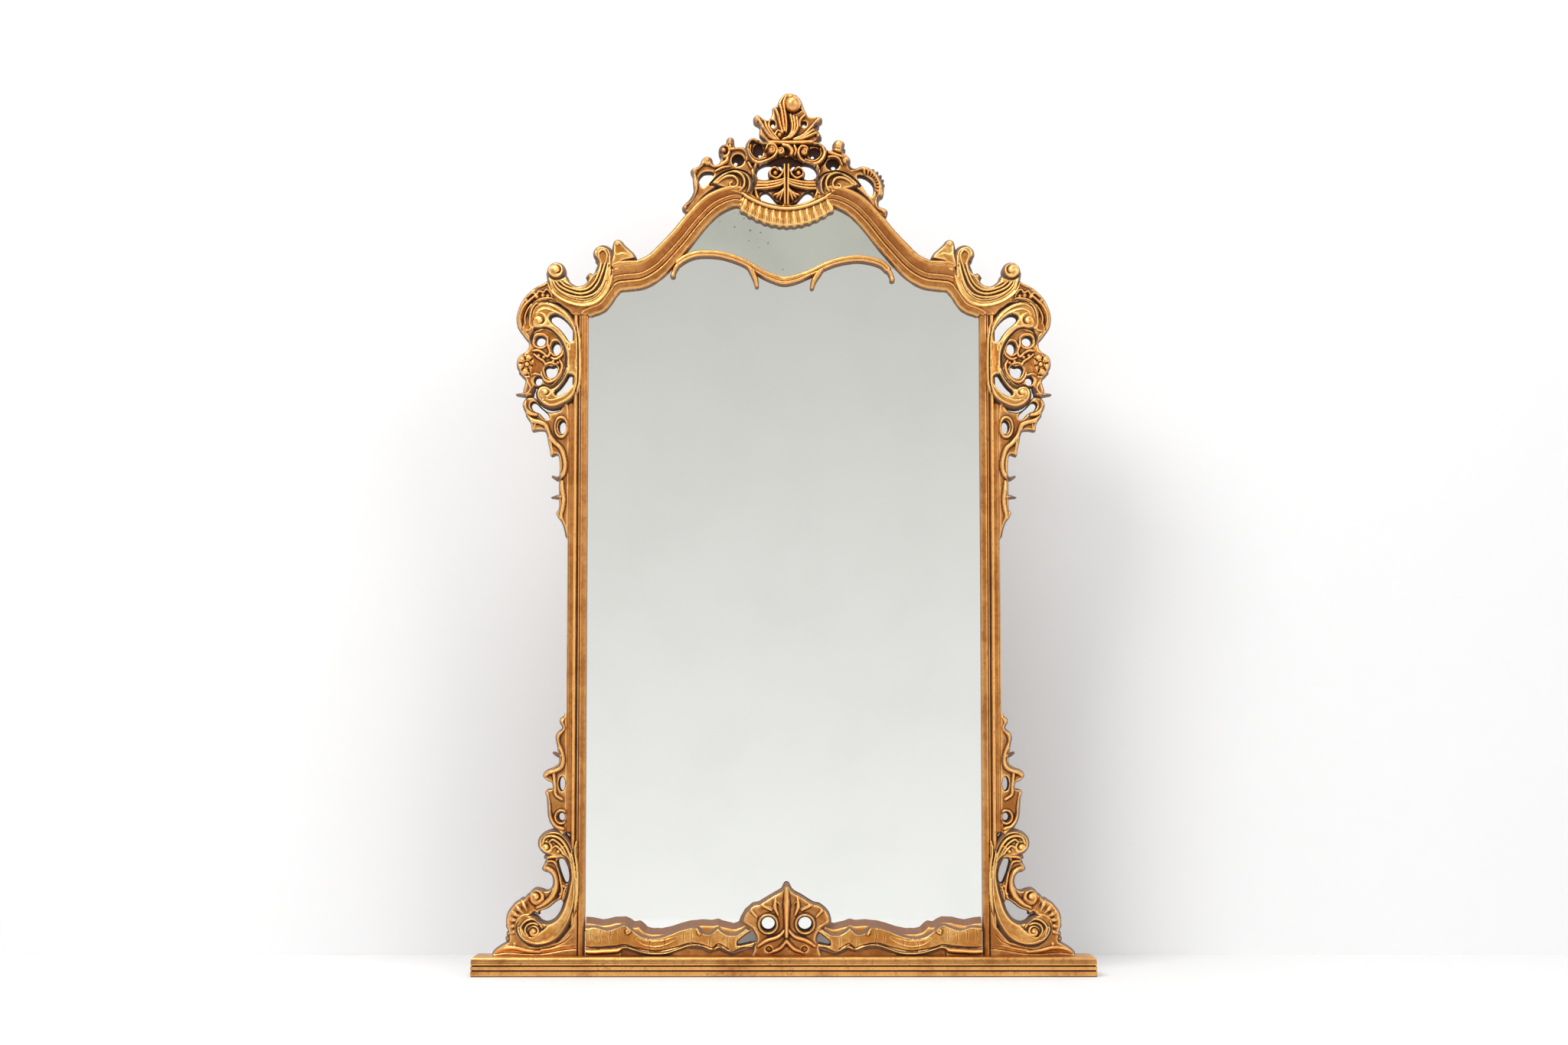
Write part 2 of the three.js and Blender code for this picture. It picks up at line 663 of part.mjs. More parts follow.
const scrollStem = {
  grounds: [[
    [-382, 190], [-382, 180], [-386, 172], [-382, 165], [-374, 161], [-371, 150],
    [-373, 140], [-362, 122], [-350, 119], [-340, 125], [-340, 150], [-351, 149],
    [-359, 166], [-363, 183], [-352, 185], [-346, 192], [-372, 198],
  ]],
  rolls: [
    [
      [-386, 170, 4, 9], [-377, 171, 8, 12], [-367, 161, 9, 13], [-364, 146, 10, 14],
      [-368, 131, 11, 14], [-380, 121, 11, 14], [-392, 117, 8, 12],
    ],
    [[-383, 186, 6, 9], [-370, 188, 7, 11], [-358, 190, 8, 12]],
  ],
  eyes: [[-397, 127, 13, 14]],
};

function lobes(x, z, inner, ends) {
  return ends.map(([endX, endZ]) => {
    const length = Math.hypot(endX - x, endZ - z);
    const startX = x + ((endX - x) * inner) / length;
    const startZ = z + ((endZ - z) * inner) / length;
    const midX = (startX + endX) / 2;
    const midZ = (startZ + endZ) / 2;
    return [[startX, startZ, 6, 11], [midX, midZ, 9, 14], [endX, endZ, 9, 9]];
  });
}

const footShell = {
  grounds: [[
    [-409, 131], [-416, 124], [-428, 119], [-434, 113], [-440, 105], [-443, 97],
    [-444, 85], [-443, 75], [-440, 68], [-440, 60], [-445, 53], [-455, 48],
    [-463, 42], [-466, foot], [-331, foot], [-326, 95], [-345, 78], [-372, 56],
    [-395, 56], [-415, 68], [-416, 88], [-402, 98], [-395, 110], [-402, 122],
  ]],
  rolls: lobes(-400, 84, 30, [
    [-413, 121], [-426, 114], [-436, 103], [-439, 89], [-438, 75], [-435, 63],
  ]),
  scoops: [
    [
      [-334, 42, 12, 14], [-360, 41, 11, 17], [-390, 41, 11, 19], [-420, 43, 13, 19],
      [-440, 44, 13, 17], [-455, 41, 9, 13], [-464, 38, 5, 8],
    ],
  ],
};

// Foot of the frame: ribbon and palmette in front of the bottom rail

const ribbonBack = frameFront - clearance;
const bottomRibbon = {
  back: ribbonBack,
  ground: -7,
  grounds: [[
    [-315, 36], [-315, 86], [-300, 85], [-283, 82], [-256, 86], [-240, 78], [-215, 69],
    [-195, 70], [-165, 78], [-138, 83], [-121, 74], [-105, 84], [-84, 74], [-70, 82],
    [-52, 74], [-48, 60], [-50, 46], [-66, 44], [-85, 38], [-100, 42], [-112, 40],
    [-133, 48], [-150, 48], [-170, 42], [-190, 38], [-215, 40], [-240, 46], [-255, 46],
    [-268, 38],
  ]],
  rolls: [
    [
      [-311, 84, 9, 9], [-300, 85, 9, 11], [-283, 82, 9, 11], [-270, 85, 9, 11],
      [-257, 86, 9, 12], [-249, 80, 9, 12],
    ],
    [
      [-240, 80, 9, 12], [-228, 74, 10, 12], [-213, 69, 9, 11], [-195, 70, 9, 11],
      [-180, 74, 9, 11], [-165, 79, 9, 11], [-150, 83, 9, 11], [-138, 83, 9, 12],
      [-130, 76, 8, 12],
    ],
    [[-112, 78, 7, 12], [-105, 84, 8, 11], [-96, 78, 8, 11], [-84, 74, 8, 11], [-72, 79, 8, 11]],
  ],
  scoops: [
    [
      [-311, 42, 11, 17], [-290, 43, 12, 19], [-265, 44, 11, 20], [-252, 47, 9, 21],
      [-238, 46, 8, 22], [-215, 40, 7, 22], [-190, 38.5, 6, 22], [-170, 42, 7, 22],
      [-150, 47, 8, 22], [-133, 48, 8, 22], [-121, 42, 8, 22], [-112, 40, 8, 22],
      [-105, 46, 7, 22], [-99, 43, 8, 22], [-85, 39, 7, 22], [-66, 44, 7, 21], [-55, 47, 7, 20],
    ],
  ],
  eyes: [[-246, 76, 8, 14], [-121, 73, 8, 14]],
  holes: [windowLeft],
};

const bottomPalmette = {
  back: ribbonBack,
  ground: -9,
  grounds: [[
    [-44, foot], [-50, 46], [-45, 60], [-52, 74], [-66, 84], [-66, 96], [-60, 106],
    [-49, 115], [-38, 118], [-20, 129], [-6, 137], [0, 147], [4.5, 150], [9, 147],
    [15, 137], [29, 129], [47, 118], [58, 115], [69, 106], [75, 96], [75, 84], [61, 74],
    [54, 60], [59, 46], [53, foot],
  ]],
  rolls: [
    [[-9, 98, 6, 13], [-14, 112, 9, 16], [-13, 126, 6, 12]],
    [[18, 98, 6, 13], [23, 112, 9, 16], [22, 126, 6, 12]],
    [[-20, 106, 6, 13], [-33, 113, 8, 15]],
    [[29, 106, 6, 13], [42, 113, 8, 15]],
    [[-43, 95, 6, 13], [-53, 106, 8, 14]],
    [[52, 95, 6, 13], [62, 106, 8, 14]],
    [[4.5, 64, 8, 18], [4.5, 92, 9, 20], [4.7, 118, 12, 20], [4.5, 139, 8, 16]],
    [[-41, 49, 8, 14], [-27, 58, 9, 17], [-9, 64, 8, 17], [3, 76, 7, 18]],
    [[50, 49, 8, 14], [36, 58, 9, 17], [18, 64, 8, 17], [6.2, 75, 7, 18]],
    [[-22, 39, 7, 14], [-7, 45, 8, 17], [4.4, 57, 8, 18]],
    [[31, 39, 7, 14], [16, 45, 8, 17], [5, 56, 8, 18]],
  ],
  knobs: [[4.2, 145, 4.5, 16.5]],
  rings: [[-25, 84, 14.6, 14.6, 5, 18], [34, 84, 14.6, 14.6, 5, 18]],
  holes: [oval(-25, 84, 10.6, 10.6, 12), oval(34, 84, 10.6, 10.6, 12)],
};

// Crest, which isn't symmetrical

const crestSwag = {
  back: frameBack,
  ground: frameFront,
  grounds: [[
    [-70, 1240], [-66, 1239], [-55, 1233], [-45, 1230], [-38, 1224], [-25, 1219],
    [-10, 1214], [5, 1213], [20, 1214], [35, 1218], [45, 1222], [55, 1228], [65, 1234],
    [72, 1240], [74, 1252], [62, 1266], [46, 1258], [28, 1251], [5, 1248], [-20, 1251],
    [-42, 1258], [-60, 1268], [-72, 1258],
  ]],
  veins: [
    [[-66, 1243], [-60, 1254]], [[-50, 1234], [-44, 1246]], [[-36, 1228], [-31, 1240]],
    [[-22, 1222], [-19, 1236]], [[-7, 1218], [-6, 1234]], [[9, 1217], [8, 1233]],
    [[25, 1219], [22, 1236]], [[40, 1225], [35, 1240]], [[54, 1231], [47, 1245]],
    [[67, 1240], [60, 1253]],
  ].map(([[ax, az], [bx, bz]]) => [[ax, az, 9, 7], [(ax + bx) / 2, (az + bz) / 2, 11, 11],
    [bx, bz, 8, 8]]),
  rolls: [[
    [-66, 1263, 5, 12], [-44, 1251, 6, 12], [-20, 1243.5, 6, 12], [5, 1241, 6, 12],
    [30, 1243.5, 6, 12], [48, 1251, 6, 12], [68, 1262, 5, 12],
  ]],
};

const volutes = {
  left: {
    grounds: [[
      [-108, 1283], [-100, 1294], [-82, 1304], [-64, 1300], [-54, 1288], [-54, 1270],
      [-64, 1264], [-84, 1266], [-100, 1270],
    ]],
    ground: -10,
    scoops: [[
      [-118, 1284, 6, 15], [-105, 1296, 10, 18], [-90, 1303, 13, 20], [-73, 1301, 14, 21],
      [-61, 1291, 14, 21], [-57, 1276, 12, 20], [-63, 1266, 7, 17],
    ]],
    rolls: [[
      [-110, 1276, 6, 15], [-98, 1285, 8, 18], [-86, 1287, 8, 19], [-77, 1281, 7, 18],
    ]],
    eyes: [[-94, 1293, 6, 20], [-75, 1283, 8, 19]],
  },
  right: {
    grounds: [[
      [118, 1276], [104, 1292], [86, 1301], [68, 1298], [58, 1284], [60, 1268],
      [70, 1262], [88, 1264], [104, 1268],
    ]],
    ground: -10,
    scoops: [[
      [122, 1284, 6, 15], [109, 1295, 10, 18], [93, 1301, 12, 20], [77, 1299, 13, 21],
      [66, 1289, 13, 21], [63, 1275, 11, 20], [69, 1265, 7, 17],
    ]],
    rolls: [[
      [114, 1274, 6, 15], [103, 1283, 8, 18], [94, 1276, 7, 18],
    ]],
    eyes: [[91, 1286, 9, 20]],
  },
};

const crestCartouche = {
  grounds: [[
    [-62, 1263], [-50, 1256], [-38, 1252], [-20, 1246], [5, 1243], [30, 1246],
    [46, 1252], [56, 1256], [66, 1262], [58, 1275], [56, 1290], [60, 1304], [66, 1318],
    [71, 1330], [68, 1345], [58, 1351], [40, 1353], [5, 1351], [-30, 1353], [-48, 1360],
    [-59, 1352], [-62, 1338], [-58, 1325], [-52, 1312], [-48, 1300], [-48, 1285],
    [-54, 1272],
  ]],
  scoops: [
    [
      [-46, 1318, 5, 12], [-34, 1317, 6, 14], [-21, 1324, 6, 15], [-16, 1336, 6, 14],
    ],
    [
      [-46, 1318, 5, 12], [-56, 1328, 7, 14], [-58, 1343, 7, 14], [-50, 1355, 7, 13],
      [-40, 1358, 6, 11],
    ],
    [[56, 1318, 5, 12], [44, 1317, 6, 14], [33, 1323, 6, 15], [26, 1334, 6, 14]],
    [[56, 1318, 5, 12], [65, 1328, 7, 14], [65, 1342, 7, 14], [56, 1352, 6, 12]],
  ],
  rolls: [
    [[4, 1246, 8, 12], [4, 1268, 9, 16], [4, 1292, 8, 16], [4, 1315, 7, 13]],
    [[1, 1292, 6, 14], [-10, 1281, 11, 15], [-26, 1279, 11, 14], [-47, 1280, 10, 13]],
    [[8, 1292, 6, 14], [18, 1281, 11, 15], [34, 1279, 11, 14], [55, 1280, 10, 13]],
    [[2, 1280, 5, 15], [-6, 1268, 7, 15], [-15, 1260, 6, 12]],
    [[6, 1280, 5, 15], [15, 1268, 7, 15], [24, 1260, 6, 12]],
    [[-46, 1308, 7, 12], [-52, 1296, 8, 13], [-52, 1282, 7, 13]],
    [[54, 1308, 7, 12], [59, 1296, 7, 13], [59, 1282, 7, 13]],
    [[-24, 1350, 8, 13], [0, 1346, 10, 14], [28, 1350, 8, 13]],
  ],
  eyes: [
    [-14, 1300, 9, 15], [24, 1300, 9, 15], [-21, 1339, 8, 15], [34, 1337, 8, 15],
    [-5, 1337, 6.5, 14],
  ],
  holes: [
    [[-45, 1302], [-40, 1311], [-28, 1316], [-19, 1314], [-23, 1302], [-21, 1292], [-30, 1290], [-42, 1294]],
    [[53, 1302], [48, 1311], [36, 1316], [29, 1314], [33, 1302], [31, 1292], [38, 1290], [50, 1294]],
    [[-14, 1317], [-6, 1317], [-1, 1312], [-2, 1304], [-6, 1311]],
    [[11, 1312], [16, 1317], [24, 1317], [16, 1311], [12, 1304]],
    [
      [-40, 1261], [-37, 1269], [-28, 1271], [-19, 1266], [-9, 1256], [-3, 1252],
      [-4, 1247], [-18, 1249], [-34, 1255],
    ],
    [
      [49, 1261], [46, 1269], [37, 1271], [28, 1266], [17, 1256], [11, 1252],
      [12, 1247], [26, 1249], [43, 1255],
    ],
    oval(-40, 1338, 10, 12, 12), oval(48, 1336, 10, 11, 12),
  ],
};

const crestFinial = {
  grounds: [[
    [-30, 1354], [-40, 1364], [-40, 1378], [-49, 1385], [-50, 1393], [-43, 1399],
    [-34, 1393], [-26, 1390], [-19, 1398], [-17, 1410], [-11, 1416], [-7, 1426],
    [0, 1434], [11, 1436], [22, 1432], [29, 1422], [33, 1411], [37, 1402], [42, 1396],
    [54, 1396], [62, 1394], [63, 1387], [55, 1381], [52, 1375], [60, 1367], [62, 1359],
    [54, 1355], [40, 1354], [5, 1352],
  ]],
  rolls: [
    [[-3, 1364, 6, 14], [-8, 1378, 8, 15], [-10, 1394, 8, 16], [-9, 1410, 8, 15]],
    [[-1, 1370, 7, 15], [-1, 1386, 8, 16], [-2, 1402, 8, 17], [1, 1416, 8, 16], [5, 1426, 6, 13]],
    [[0, 1356, 8, 13], [9, 1366, 9, 15], [14, 1380, 10, 17], [15, 1396, 10, 16]],
    [[-8, 1357, 8, 13], [-22, 1364, 9, 14], [-30, 1376, 9, 14], [-40, 1386, 8, 13]],
    [[16, 1357, 8, 13], [30, 1363, 10, 14], [40, 1374, 10, 14], [54, 1387, 8, 12]],
    [[22, 1356, 6, 12], [38, 1358, 8, 13], [56, 1361, 7, 10]],
    [[22, 1374, 7, 14], [25, 1390, 8, 14], [33, 1396, 7, 12]],
  ],
  knobs: [[14, 1417, 14.5, 19], [-44, 1391, 6, 13], [-8, 1362, 6, 15]],
  holes: [oval(-18, 1382, 3.5, 6, 8), oval(33, 1382, 4, 4.5, 8)],
};

const wings = {
  left: {
    grounds: [[
      [-165, 1240], [-163, 1250], [-153, 1257], [-148, 1270], [-149, 1285], [-150, 1296],
      [-153, 1305], [-148, 1311], [-139, 1314], [-134, 1325], [-127, 1330], [-119, 1327],
      [-114, 1316], [-106, 1318], [-103, 1330], [-105, 1339], [-101, 1347], [-95, 1351],
      [-93, 1359], [-88, 1362], [-82, 1359], [-81, 1351], [-79, 1345], [-68, 1346],
      [-60, 1340], [-52, 1318], [-44, 1300], [-60, 1280], [-100, 1280], [-130, 1262],
      [-150, 1236],
    ]],
    rolls: [
      [
        [-160, 1246, 7, 8], [-151, 1258, 7, 11], [-145, 1272, 7, 12], [-145, 1288, 7, 12],
        [-146, 1300, 7, 12], [-137, 1310, 8, 12], [-127, 1316, 9, 12],
      ],
      [[-117, 1313, 6, 12], [-106, 1312, 8, 13], [-94, 1317, 8, 13], [-85, 1325, 7, 12]],
      [[-99, 1330, 7, 12], [-95, 1342, 7, 13], [-89, 1350, 7, 12]],
      [[-84, 1340, 6, 12], [-72, 1342, 6, 13], [-60, 1336, 6, 12], [-55, 1322, 7, 12]],
    ],
    knobs: [[-88, 1354, 6, 14], [-147, 1303, 5, 14]],
    eyes: [[-97, 1338, 7.5, 15], [-126, 1321, 8, 14]],
    holes: [
      [[-139, 1290], [-134, 1299], [-127, 1302], [-115, 1300], [-124, 1286], [-133, 1278]],
      oval(-77, 1325, 8, 9, 10),
    ],
  },
  right: {
    grounds: [[
      [166, 1228], [170, 1238], [164, 1244], [156, 1247], [155, 1258], [163, 1264],
      [163, 1280], [158, 1292], [152, 1302], [142, 1309], [130, 1314], [120, 1310],
      [110, 1308], [106, 1318], [108, 1326], [102, 1333], [97, 1338], [100, 1350],
      [95, 1356], [86, 1357], [80, 1350], [78, 1340], [66, 1340], [60, 1320], [54, 1300],
      [70, 1280], [106, 1280], [134, 1260], [152, 1234],
    ]],
    rolls: [
      [[162, 1234, 6, 8], [155, 1246, 7, 11], [153, 1256, 6, 12], [158, 1266, 6, 12]],
      [
        [159, 1266, 7, 12], [159, 1280, 8, 14], [153, 1293, 9, 14], [143, 1303, 9, 14],
        [130, 1308, 9, 14], [118, 1306, 8, 12],
      ],
      [[114, 1304, 6, 12], [103, 1310, 7, 12], [99, 1322, 7, 13], [96, 1334, 6, 12]],
      [[72, 1334, 6, 12], [84, 1336, 7, 13], [92, 1334, 6, 12]],
    ],
    knobs: [[90, 1347, 8.5, 15], [165, 1237, 5, 11]],
    eyes: [[102, 1322, 6.5, 15]],
    holes: [
      [[121, 1296], [134, 1294], [145, 1284], [147, 1272], [142, 1263], [130, 1279]],
      oval(80, 1317, 10, 9, 10),
    ],
  },
};

// Glazing bar between the two panes

const barHeight = 4;
const barBack = lipBack - 0.2;
const barLine = [
  [-172, 1154, 13], [-160, 1162, 13], [-143, 1168, 13], [-122, 1169, 13], [-102, 1167, 13],
  [-84, 1162, 13], [-66, 1155, 13], [-50, 1146, 13], [-34, 1136, 15], [-18, 1129, 17],
  [0, 1124, 18], [18, 1127, 17], [34, 1133, 15], [50, 1140, 13], [66, 1148, 13],
  [84, 1155, 13], [102, 1159, 13], [122, 1161, 13], [143, 1158, 13], [160, 1152, 13],
  [169, 1144, 13],
];
const barLeaves = [
  [[-60, 1151, 6, 5], [-52, 1140, 8, 6], [-46, 1126, 7, 5], [-44, 1115, 5, 3]],
  [[64, 1146, 6, 5], [57, 1137, 8, 6], [49, 1124, 7, 5], [46, 1112, 5, 3]],
  [[-168, 1156, 6, 4], [-176, 1146, 8, 5], [-181, 1135, 7, 3]],
  [[165, 1147, 6, 4], [173, 1138, 8, 5], [177, 1128, 7, 3]],
];
const barBulbs = [[-181, 1133], [177, 1126]];

function barBody() {
  const back = barBack + 2;
  const body = barLine.map(([x, z, width]) => [x, z, width - 4, barHeight]);
  const leaves = barLeaves.map((leaf) => stroke(leaf, { steps: 0.7, back }));
  const bulbs = barBulbs.map(([x, z]) => knob(x, z, 4.5, 5, { back, grow: 0 }));
  return join([stroke(body, { steps: 0.8, back }), ...leaves, ...bulbs]);
}

// Glass and backboard

const glassOutline = behindSight(rebate - 1);
const glassFront = lipBack + clearance;
const glassBack = glassFront + glassThickness;
const paneGap = 0.8;
const barTop = barLine.map(([x, z]) => [x, z]);

function paneCut(above) {
  const shift = above ? paneGap / 2 : -paneGap / 2;
  const far = above ? 1400 : 0;
  const line = [[-400, 1154], ...barTop, [400, 1154]].map(([x, z]) => [x, z + shift]);
  return slab([...line, [400, far], [-400, far]], 0, 40);
}

const glass = slab(glassOutline, glassFront, glassBack);
const boardFront = glassBack + clearance;
const boardBack = boardFront + boardThickness;

// Plinth: a beam with a bevelled top edge and two grooves round the front and ends

function plinthBody() {
  const half = plinthWidth / 2;
  const outline = [
    [-half, 0], [-half, 18], [-half + 2, 26], [-half + plinthEdge, plinthHeight],
    [half - plinthEdge, plinthHeight], [half - 2, 26], [half, 18], [half, 0],
  ];
  const beam = slab(outline, -plinthDepth / 2, plinthDepth / 2);
  const grooves = [];
  for (const [z, tall, deep] of [[9, 1.6, 1.8], [17, 1.8, 2.4], [22, 1, 1], [25, 1, 1]]) {
    const front = new THREE.BoxGeometry(plinthWidth + 20, deep * 2, tall);
    front.translate(0, -plinthDepth / 2, z);
    grooves.push(solid(front));
  }
  return cut(beam, grooves);
}

// Hardware on the back: hanging straps with rings, and turn buttons for the backboard

const plateFront = frameBack + clearance;
const strapThickness = 2;
const strapWidth = 17;
const strapLength = 30;
const barrelRadius = 3;
const wireRadius = 1.4;
const barrelY = plateFront + strapThickness + 2.2;
const ringHalfWidth = 10.5;
const ringDrop = 17;
const headRadius = 3.3;
const headHeight = 1.4;
const shankRadius = 1.5;
const buttonThickness = 2.5;
const buttonWidth = 13;
const buttonReach = 27;
const buttonTail = 8;

function tubeX(radius, length, y, z) {
  const geometry = new THREE.CylinderGeometry(radius, radius, length, 10);
  geometry.rotateZ(Math.PI / 2);
  geometry.translate(0, y, z);
  return solid(geometry);
}

// The strap, about its own lower end on the face it lies on
function strapBody() {
  const half = strapWidth / 2;
  const outline = [
    [-half, 3], [-half + 3, 0], [half - 3, 0], [half, 3], [half, strapLength - 6],
    [5.5, strapLength], [-5.5, strapLength], [-half, strapLength - 6],
  ];
  const plate = slab(outline, 0, strapThickness);
  const barrelMiddle = barrelY - plateFront;
  const barrel = tubeX(barrelRadius, 11, barrelMiddle, strapLength);
  const web = slab([[-5.5, strapLength - 4], [5.5, strapLength - 4], [5.5, strapLength + 0.5],
    [-5.5, strapLength + 0.5]], 0.5, barrelMiddle);
  const bore = tubeX(wireRadius + 0.35, 40, barrelMiddle, strapLength);
  const bores = screwRise.map((rise) => boreY(0, rise, pilotRadius, -5, 10));
  return cut(join([plate, web, barrel]), [bore, ...bores]);
}

// The D-ring, about the middle of the barrel, hanging down
function ringBody() {
  const corner = 3;
  const w = ringHalfWidth;
  const path = new THREE.CurvePath();
  const at = (x, z) => new THREE.Vector3(x, 0, z);
  path.add(new THREE.LineCurve3(at(0, 0), at(w - corner, 0)));
  path.add(new THREE.QuadraticBezierCurve3(at(w - corner, 0), at(w, 0), at(w, -corner)));
  path.add(new THREE.LineCurve3(at(w, -corner), at(w, -ringDrop + w)));
  path.add(new THREE.CubicBezierCurve3(
    at(w, -ringDrop + w), at(w, -ringDrop - 3), at(-w, -ringDrop - 3), at(-w, -ringDrop + w),
  ));
  path.add(new THREE.LineCurve3(at(-w, -ringDrop + w), at(-w, -corner)));
  path.add(new THREE.QuadraticBezierCurve3(at(-w, -corner), at(-w, 0), at(-w + corner, 0)));
  path.add(new THREE.LineCurve3(at(-w + corner, 0), at(0, 0)));
  const points = path.getSpacedPoints(18).slice(0, -1);
  const loop = new THREE.CatmullRomCurve3(points, true);
  const geometry = new THREE.TubeGeometry(loop, 18, wireRadius, 6, true);
  return solid(geometry);
}

// A screw on the face y = 0, its head outside and its shank going in
function screwBody(faceGap) {
  const base = faceGap;
  return turned(0, 0, [
    [0, -9], [shankRadius, -8], [shankRadius, base], [headRadius, base],
    [headRadius * 0.7, base + headHeight], [0, base + headHeight],
  ], 8);
}

// A turn button about its pivot, pointing towards +X
function buttonBody() {
  const half = buttonWidth / 2;
  const outline = [];
  for (let i = 0; i <= 6; i += 1) {
    const angle = Math.PI / 2 + (Math.PI * i) / 6;
    outline.push([-buttonTail + half + half * Math.cos(angle), half * Math.sin(angle)]);
  }
  for (let i = 0; i <= 6; i += 1) {
    const angle = -Math.PI / 2 + (Math.PI * i) / 6;
    outline.push([buttonReach - half + half * Math.cos(angle), half * Math.sin(angle)]);
  }
  return cut(slab(outline, 0, buttonThickness), [boreY(0, 0, shankRadius + 0.35, -5, 10)]);
}

// Assembly

const mirror = new THREE.Group();
const frame = new THREE.Group();
frame.position.z = frameLift;
mirror.add(frame);
const sides = {};
for (const side of ["left", "right"]) {
  sides[side] = new THREE.Group();
  if (side === "right") sides[side].scale.x = -1;
  frame.add(sides[side]);
}

function place(parent, name, body, material, position = [0, 0, 0]) {
  const mesh = new THREE.Mesh(geometryOf(body), material);
  mesh.name = name;
  mesh.position.set(...position);
  parent.add(mesh);
  return mesh;
}

function onBothSides(name, body, look) {
  for (const side of ["left", "right"]) {
    place(sides[side], `${name}_${side}`, body, finish(...look));
  }
}

// Carved neighbours: each piece gives way to the ones before it
const stileRoom = uprightRoom(stileProfile, ...stileSpan).add(
  uprightRoom(panelProfile, ...panelSpan),
);
const shoulderRoom = shoulderBody(clearance);
const archRoom = archBody(clearance);
const room = (piece) => carve(piece, clearance + 0.1);
const belowFoot = slab([[-600, -50], [600, -50], [600, foot], [-600, foot]], -60, 60);
const frameRoom = [stileRoom, shoulderRoom, archRoom];
const sideTools = [stileRoom, belowFoot];

const ear = whole(cut(carve(earScroll).add(carve(shoulderLeaf)), frameRoom));
const scroll = whole(cut(carve(cornerScroll), [...frameRoom, room(earScroll)]));
const vine = whole(cut(carve(cornerVine), [...frameRoom, room(cornerScroll)]));
const crownLeaf = whole(cut(carve(cornerLeaf), [
  ...frameRoom, room(earScroll), room(cornerScroll), room(cornerVine),
]));
const drop = whole(cut(carve(leafDrop), [stileRoom, room(cornerScroll), room(cornerLeaf)]));
const lower = whole(cut(carve(lowerScroll), sideTools));
const spray = whole(cut(carve(stileSpray), [stileRoom, room(lowerScroll)]));
const stem = whole(cut(carve(scrollStem), [stileRoom, room(lowerScroll)]));
const shell = whole(cut(carve(footShell), [
  ...sideTools, room(lowerScroll), room(scrollStem),
]));

place(mirror, "plinth_rail", plinthBody(), finish(gold, 0.42, 0.75));
place(frame, "bottom_rail", rail, finish(gold, 0.4, 0.8));
onBothSides("stile", stile, [gold, 0.38, 0.8]);
onBothSides("shoulder", shoulder, [gold, 0.38, 0.8]);
onBothSides("arch", arch, [gold, 0.36, 0.8]);
onBothSides("ear_scroll", ear, [paleGold, 0.34, 0.85]);
onBothSides("corner_scroll", scroll, [paleGold, 0.34, 0.85]);
onBothSides("corner_vine", vine, [redGold, 0.42, 0.75]);
onBothSides("corner_leaf", crownLeaf, [paleRed, 0.4, 0.75]);
onBothSides("leaf_drop", drop, [gold, 0.38, 0.8]);
onBothSides("stile_spray", spray, [gold, 0.38, 0.8]);
onBothSides("lower_scroll", lower, [paleGold, 0.34, 0.85]);
onBothSides("scroll_stem", stem, [redGold, 0.4, 0.78]);
onBothSides("foot_shell", shell, [gold, 0.38, 0.8]);

const palmette = whole(cut(carve(bottomPalmette), [belowFoot]));
const palmetteRoom = carve(bottomPalmette, clearance);
const ribbonTools = [palmetteRoom, palmetteRoom.mirror([1, 0, 0]), belowFoot];
place(frame, "bottom_palmette", palmette, finish(paleGold, 0.36, 0.82));
onBothSides("bottom_ribbon", whole(cut(carve(bottomRibbon), ribbonTools)), [gold, 0.38, 0.8]);

const bothArches = archRoom.add(archRoom.mirror([1, 0, 0]));
const swag = whole(cut(carve(crestSwag), [bothArches, rebateRoom]));
const volute = {};
for (const side of ["left", "right"]) {
  volute[side] = whole(cut(carve(volutes[side]), [bothArches, room(crestSwag)]));
}
const cartouche = whole(cut(carve(crestCartouche), [
  bothArches, room(crestSwag), room(volutes.left), room(volutes.right),
]));
const cartoucheRoom = room(crestCartouche);
place(frame, "crest_swag", swag, finish(paleGold, 0.34, 0.85));
place(frame, "crest_cartouche", cartouche, finish(redGold, 0.38, 0.8));
place(frame, "crest_finial", whole(cut(carve(crestFinial), [cartoucheRoom])),
  finish(redGold, 0.36, 0.8));
for (const side of ["left", "right"]) {
  const tools = [bothArches, room(volutes[side]), cartoucheRoom, room(crestSwag)];
  place(frame, `arch_volute_${side}`, volute[side], finish(paleGold, 0.34, 0.85));
  place(frame, `crest_wing_${side}`, whole(cut(carve(wings[side]), tools)),
    finish(redGold, 0.38, 0.8));
}

const bar = whole(cut(barBody(), [bothArches, behind(barBack)]));
place(frame, "glazing_bar", bar, finish(redGold, 0.36, 0.8));
place(frame, "glass_main", glass.subtract(paneCut(true)), finish(0xc9cfcb, 0.05, 1));
place(frame, "glass_upper", glass.intersect(paneCut(true)), finish(0xb9bfb4, 0.06, 1));
place(frame, "backboard", slab(glassOutline, boardFront, boardBack), finish(0x8a6a48, 0.8, 0));

for (const side of ["left", "right"]) {
  const strap = [strapX, plateFront, strapLow];
  const steel = () => finish(0x8d8a80, 0.45, 1);
  place(sides[side], `hanger_strap_${side}`, strapBody(), steel(), strap);
  place(sides[side], `d_ring_${side}`, ringBody(), steel(), [
    strapX, barrelY, strapLow + strapLength,
  ]);
  screwRise.forEach((rise, i) => {
    place(sides[side], `strap_screw_${side}_${i + 1}`, screwBody(clearance), steel(), [
      strapX, plateFront + strapThickness, strapLow + rise,
    ]);
  });
  buttonHeights.forEach((z, i) => {
    place(sides[side], `turn_button_${side}_${i + 1}`, buttonBody(), finish(0x9a7a3c, 0.4, 1), [
      buttonPivot, plateFront, z,
    ]);
    place(sides[side], `button_screw_${side}_${i + 1}`, screwBody(clearance), steel(), [
      buttonPivot, plateFront + buttonThickness, z,
    ]);
  });
}

export default mirror;
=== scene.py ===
import math

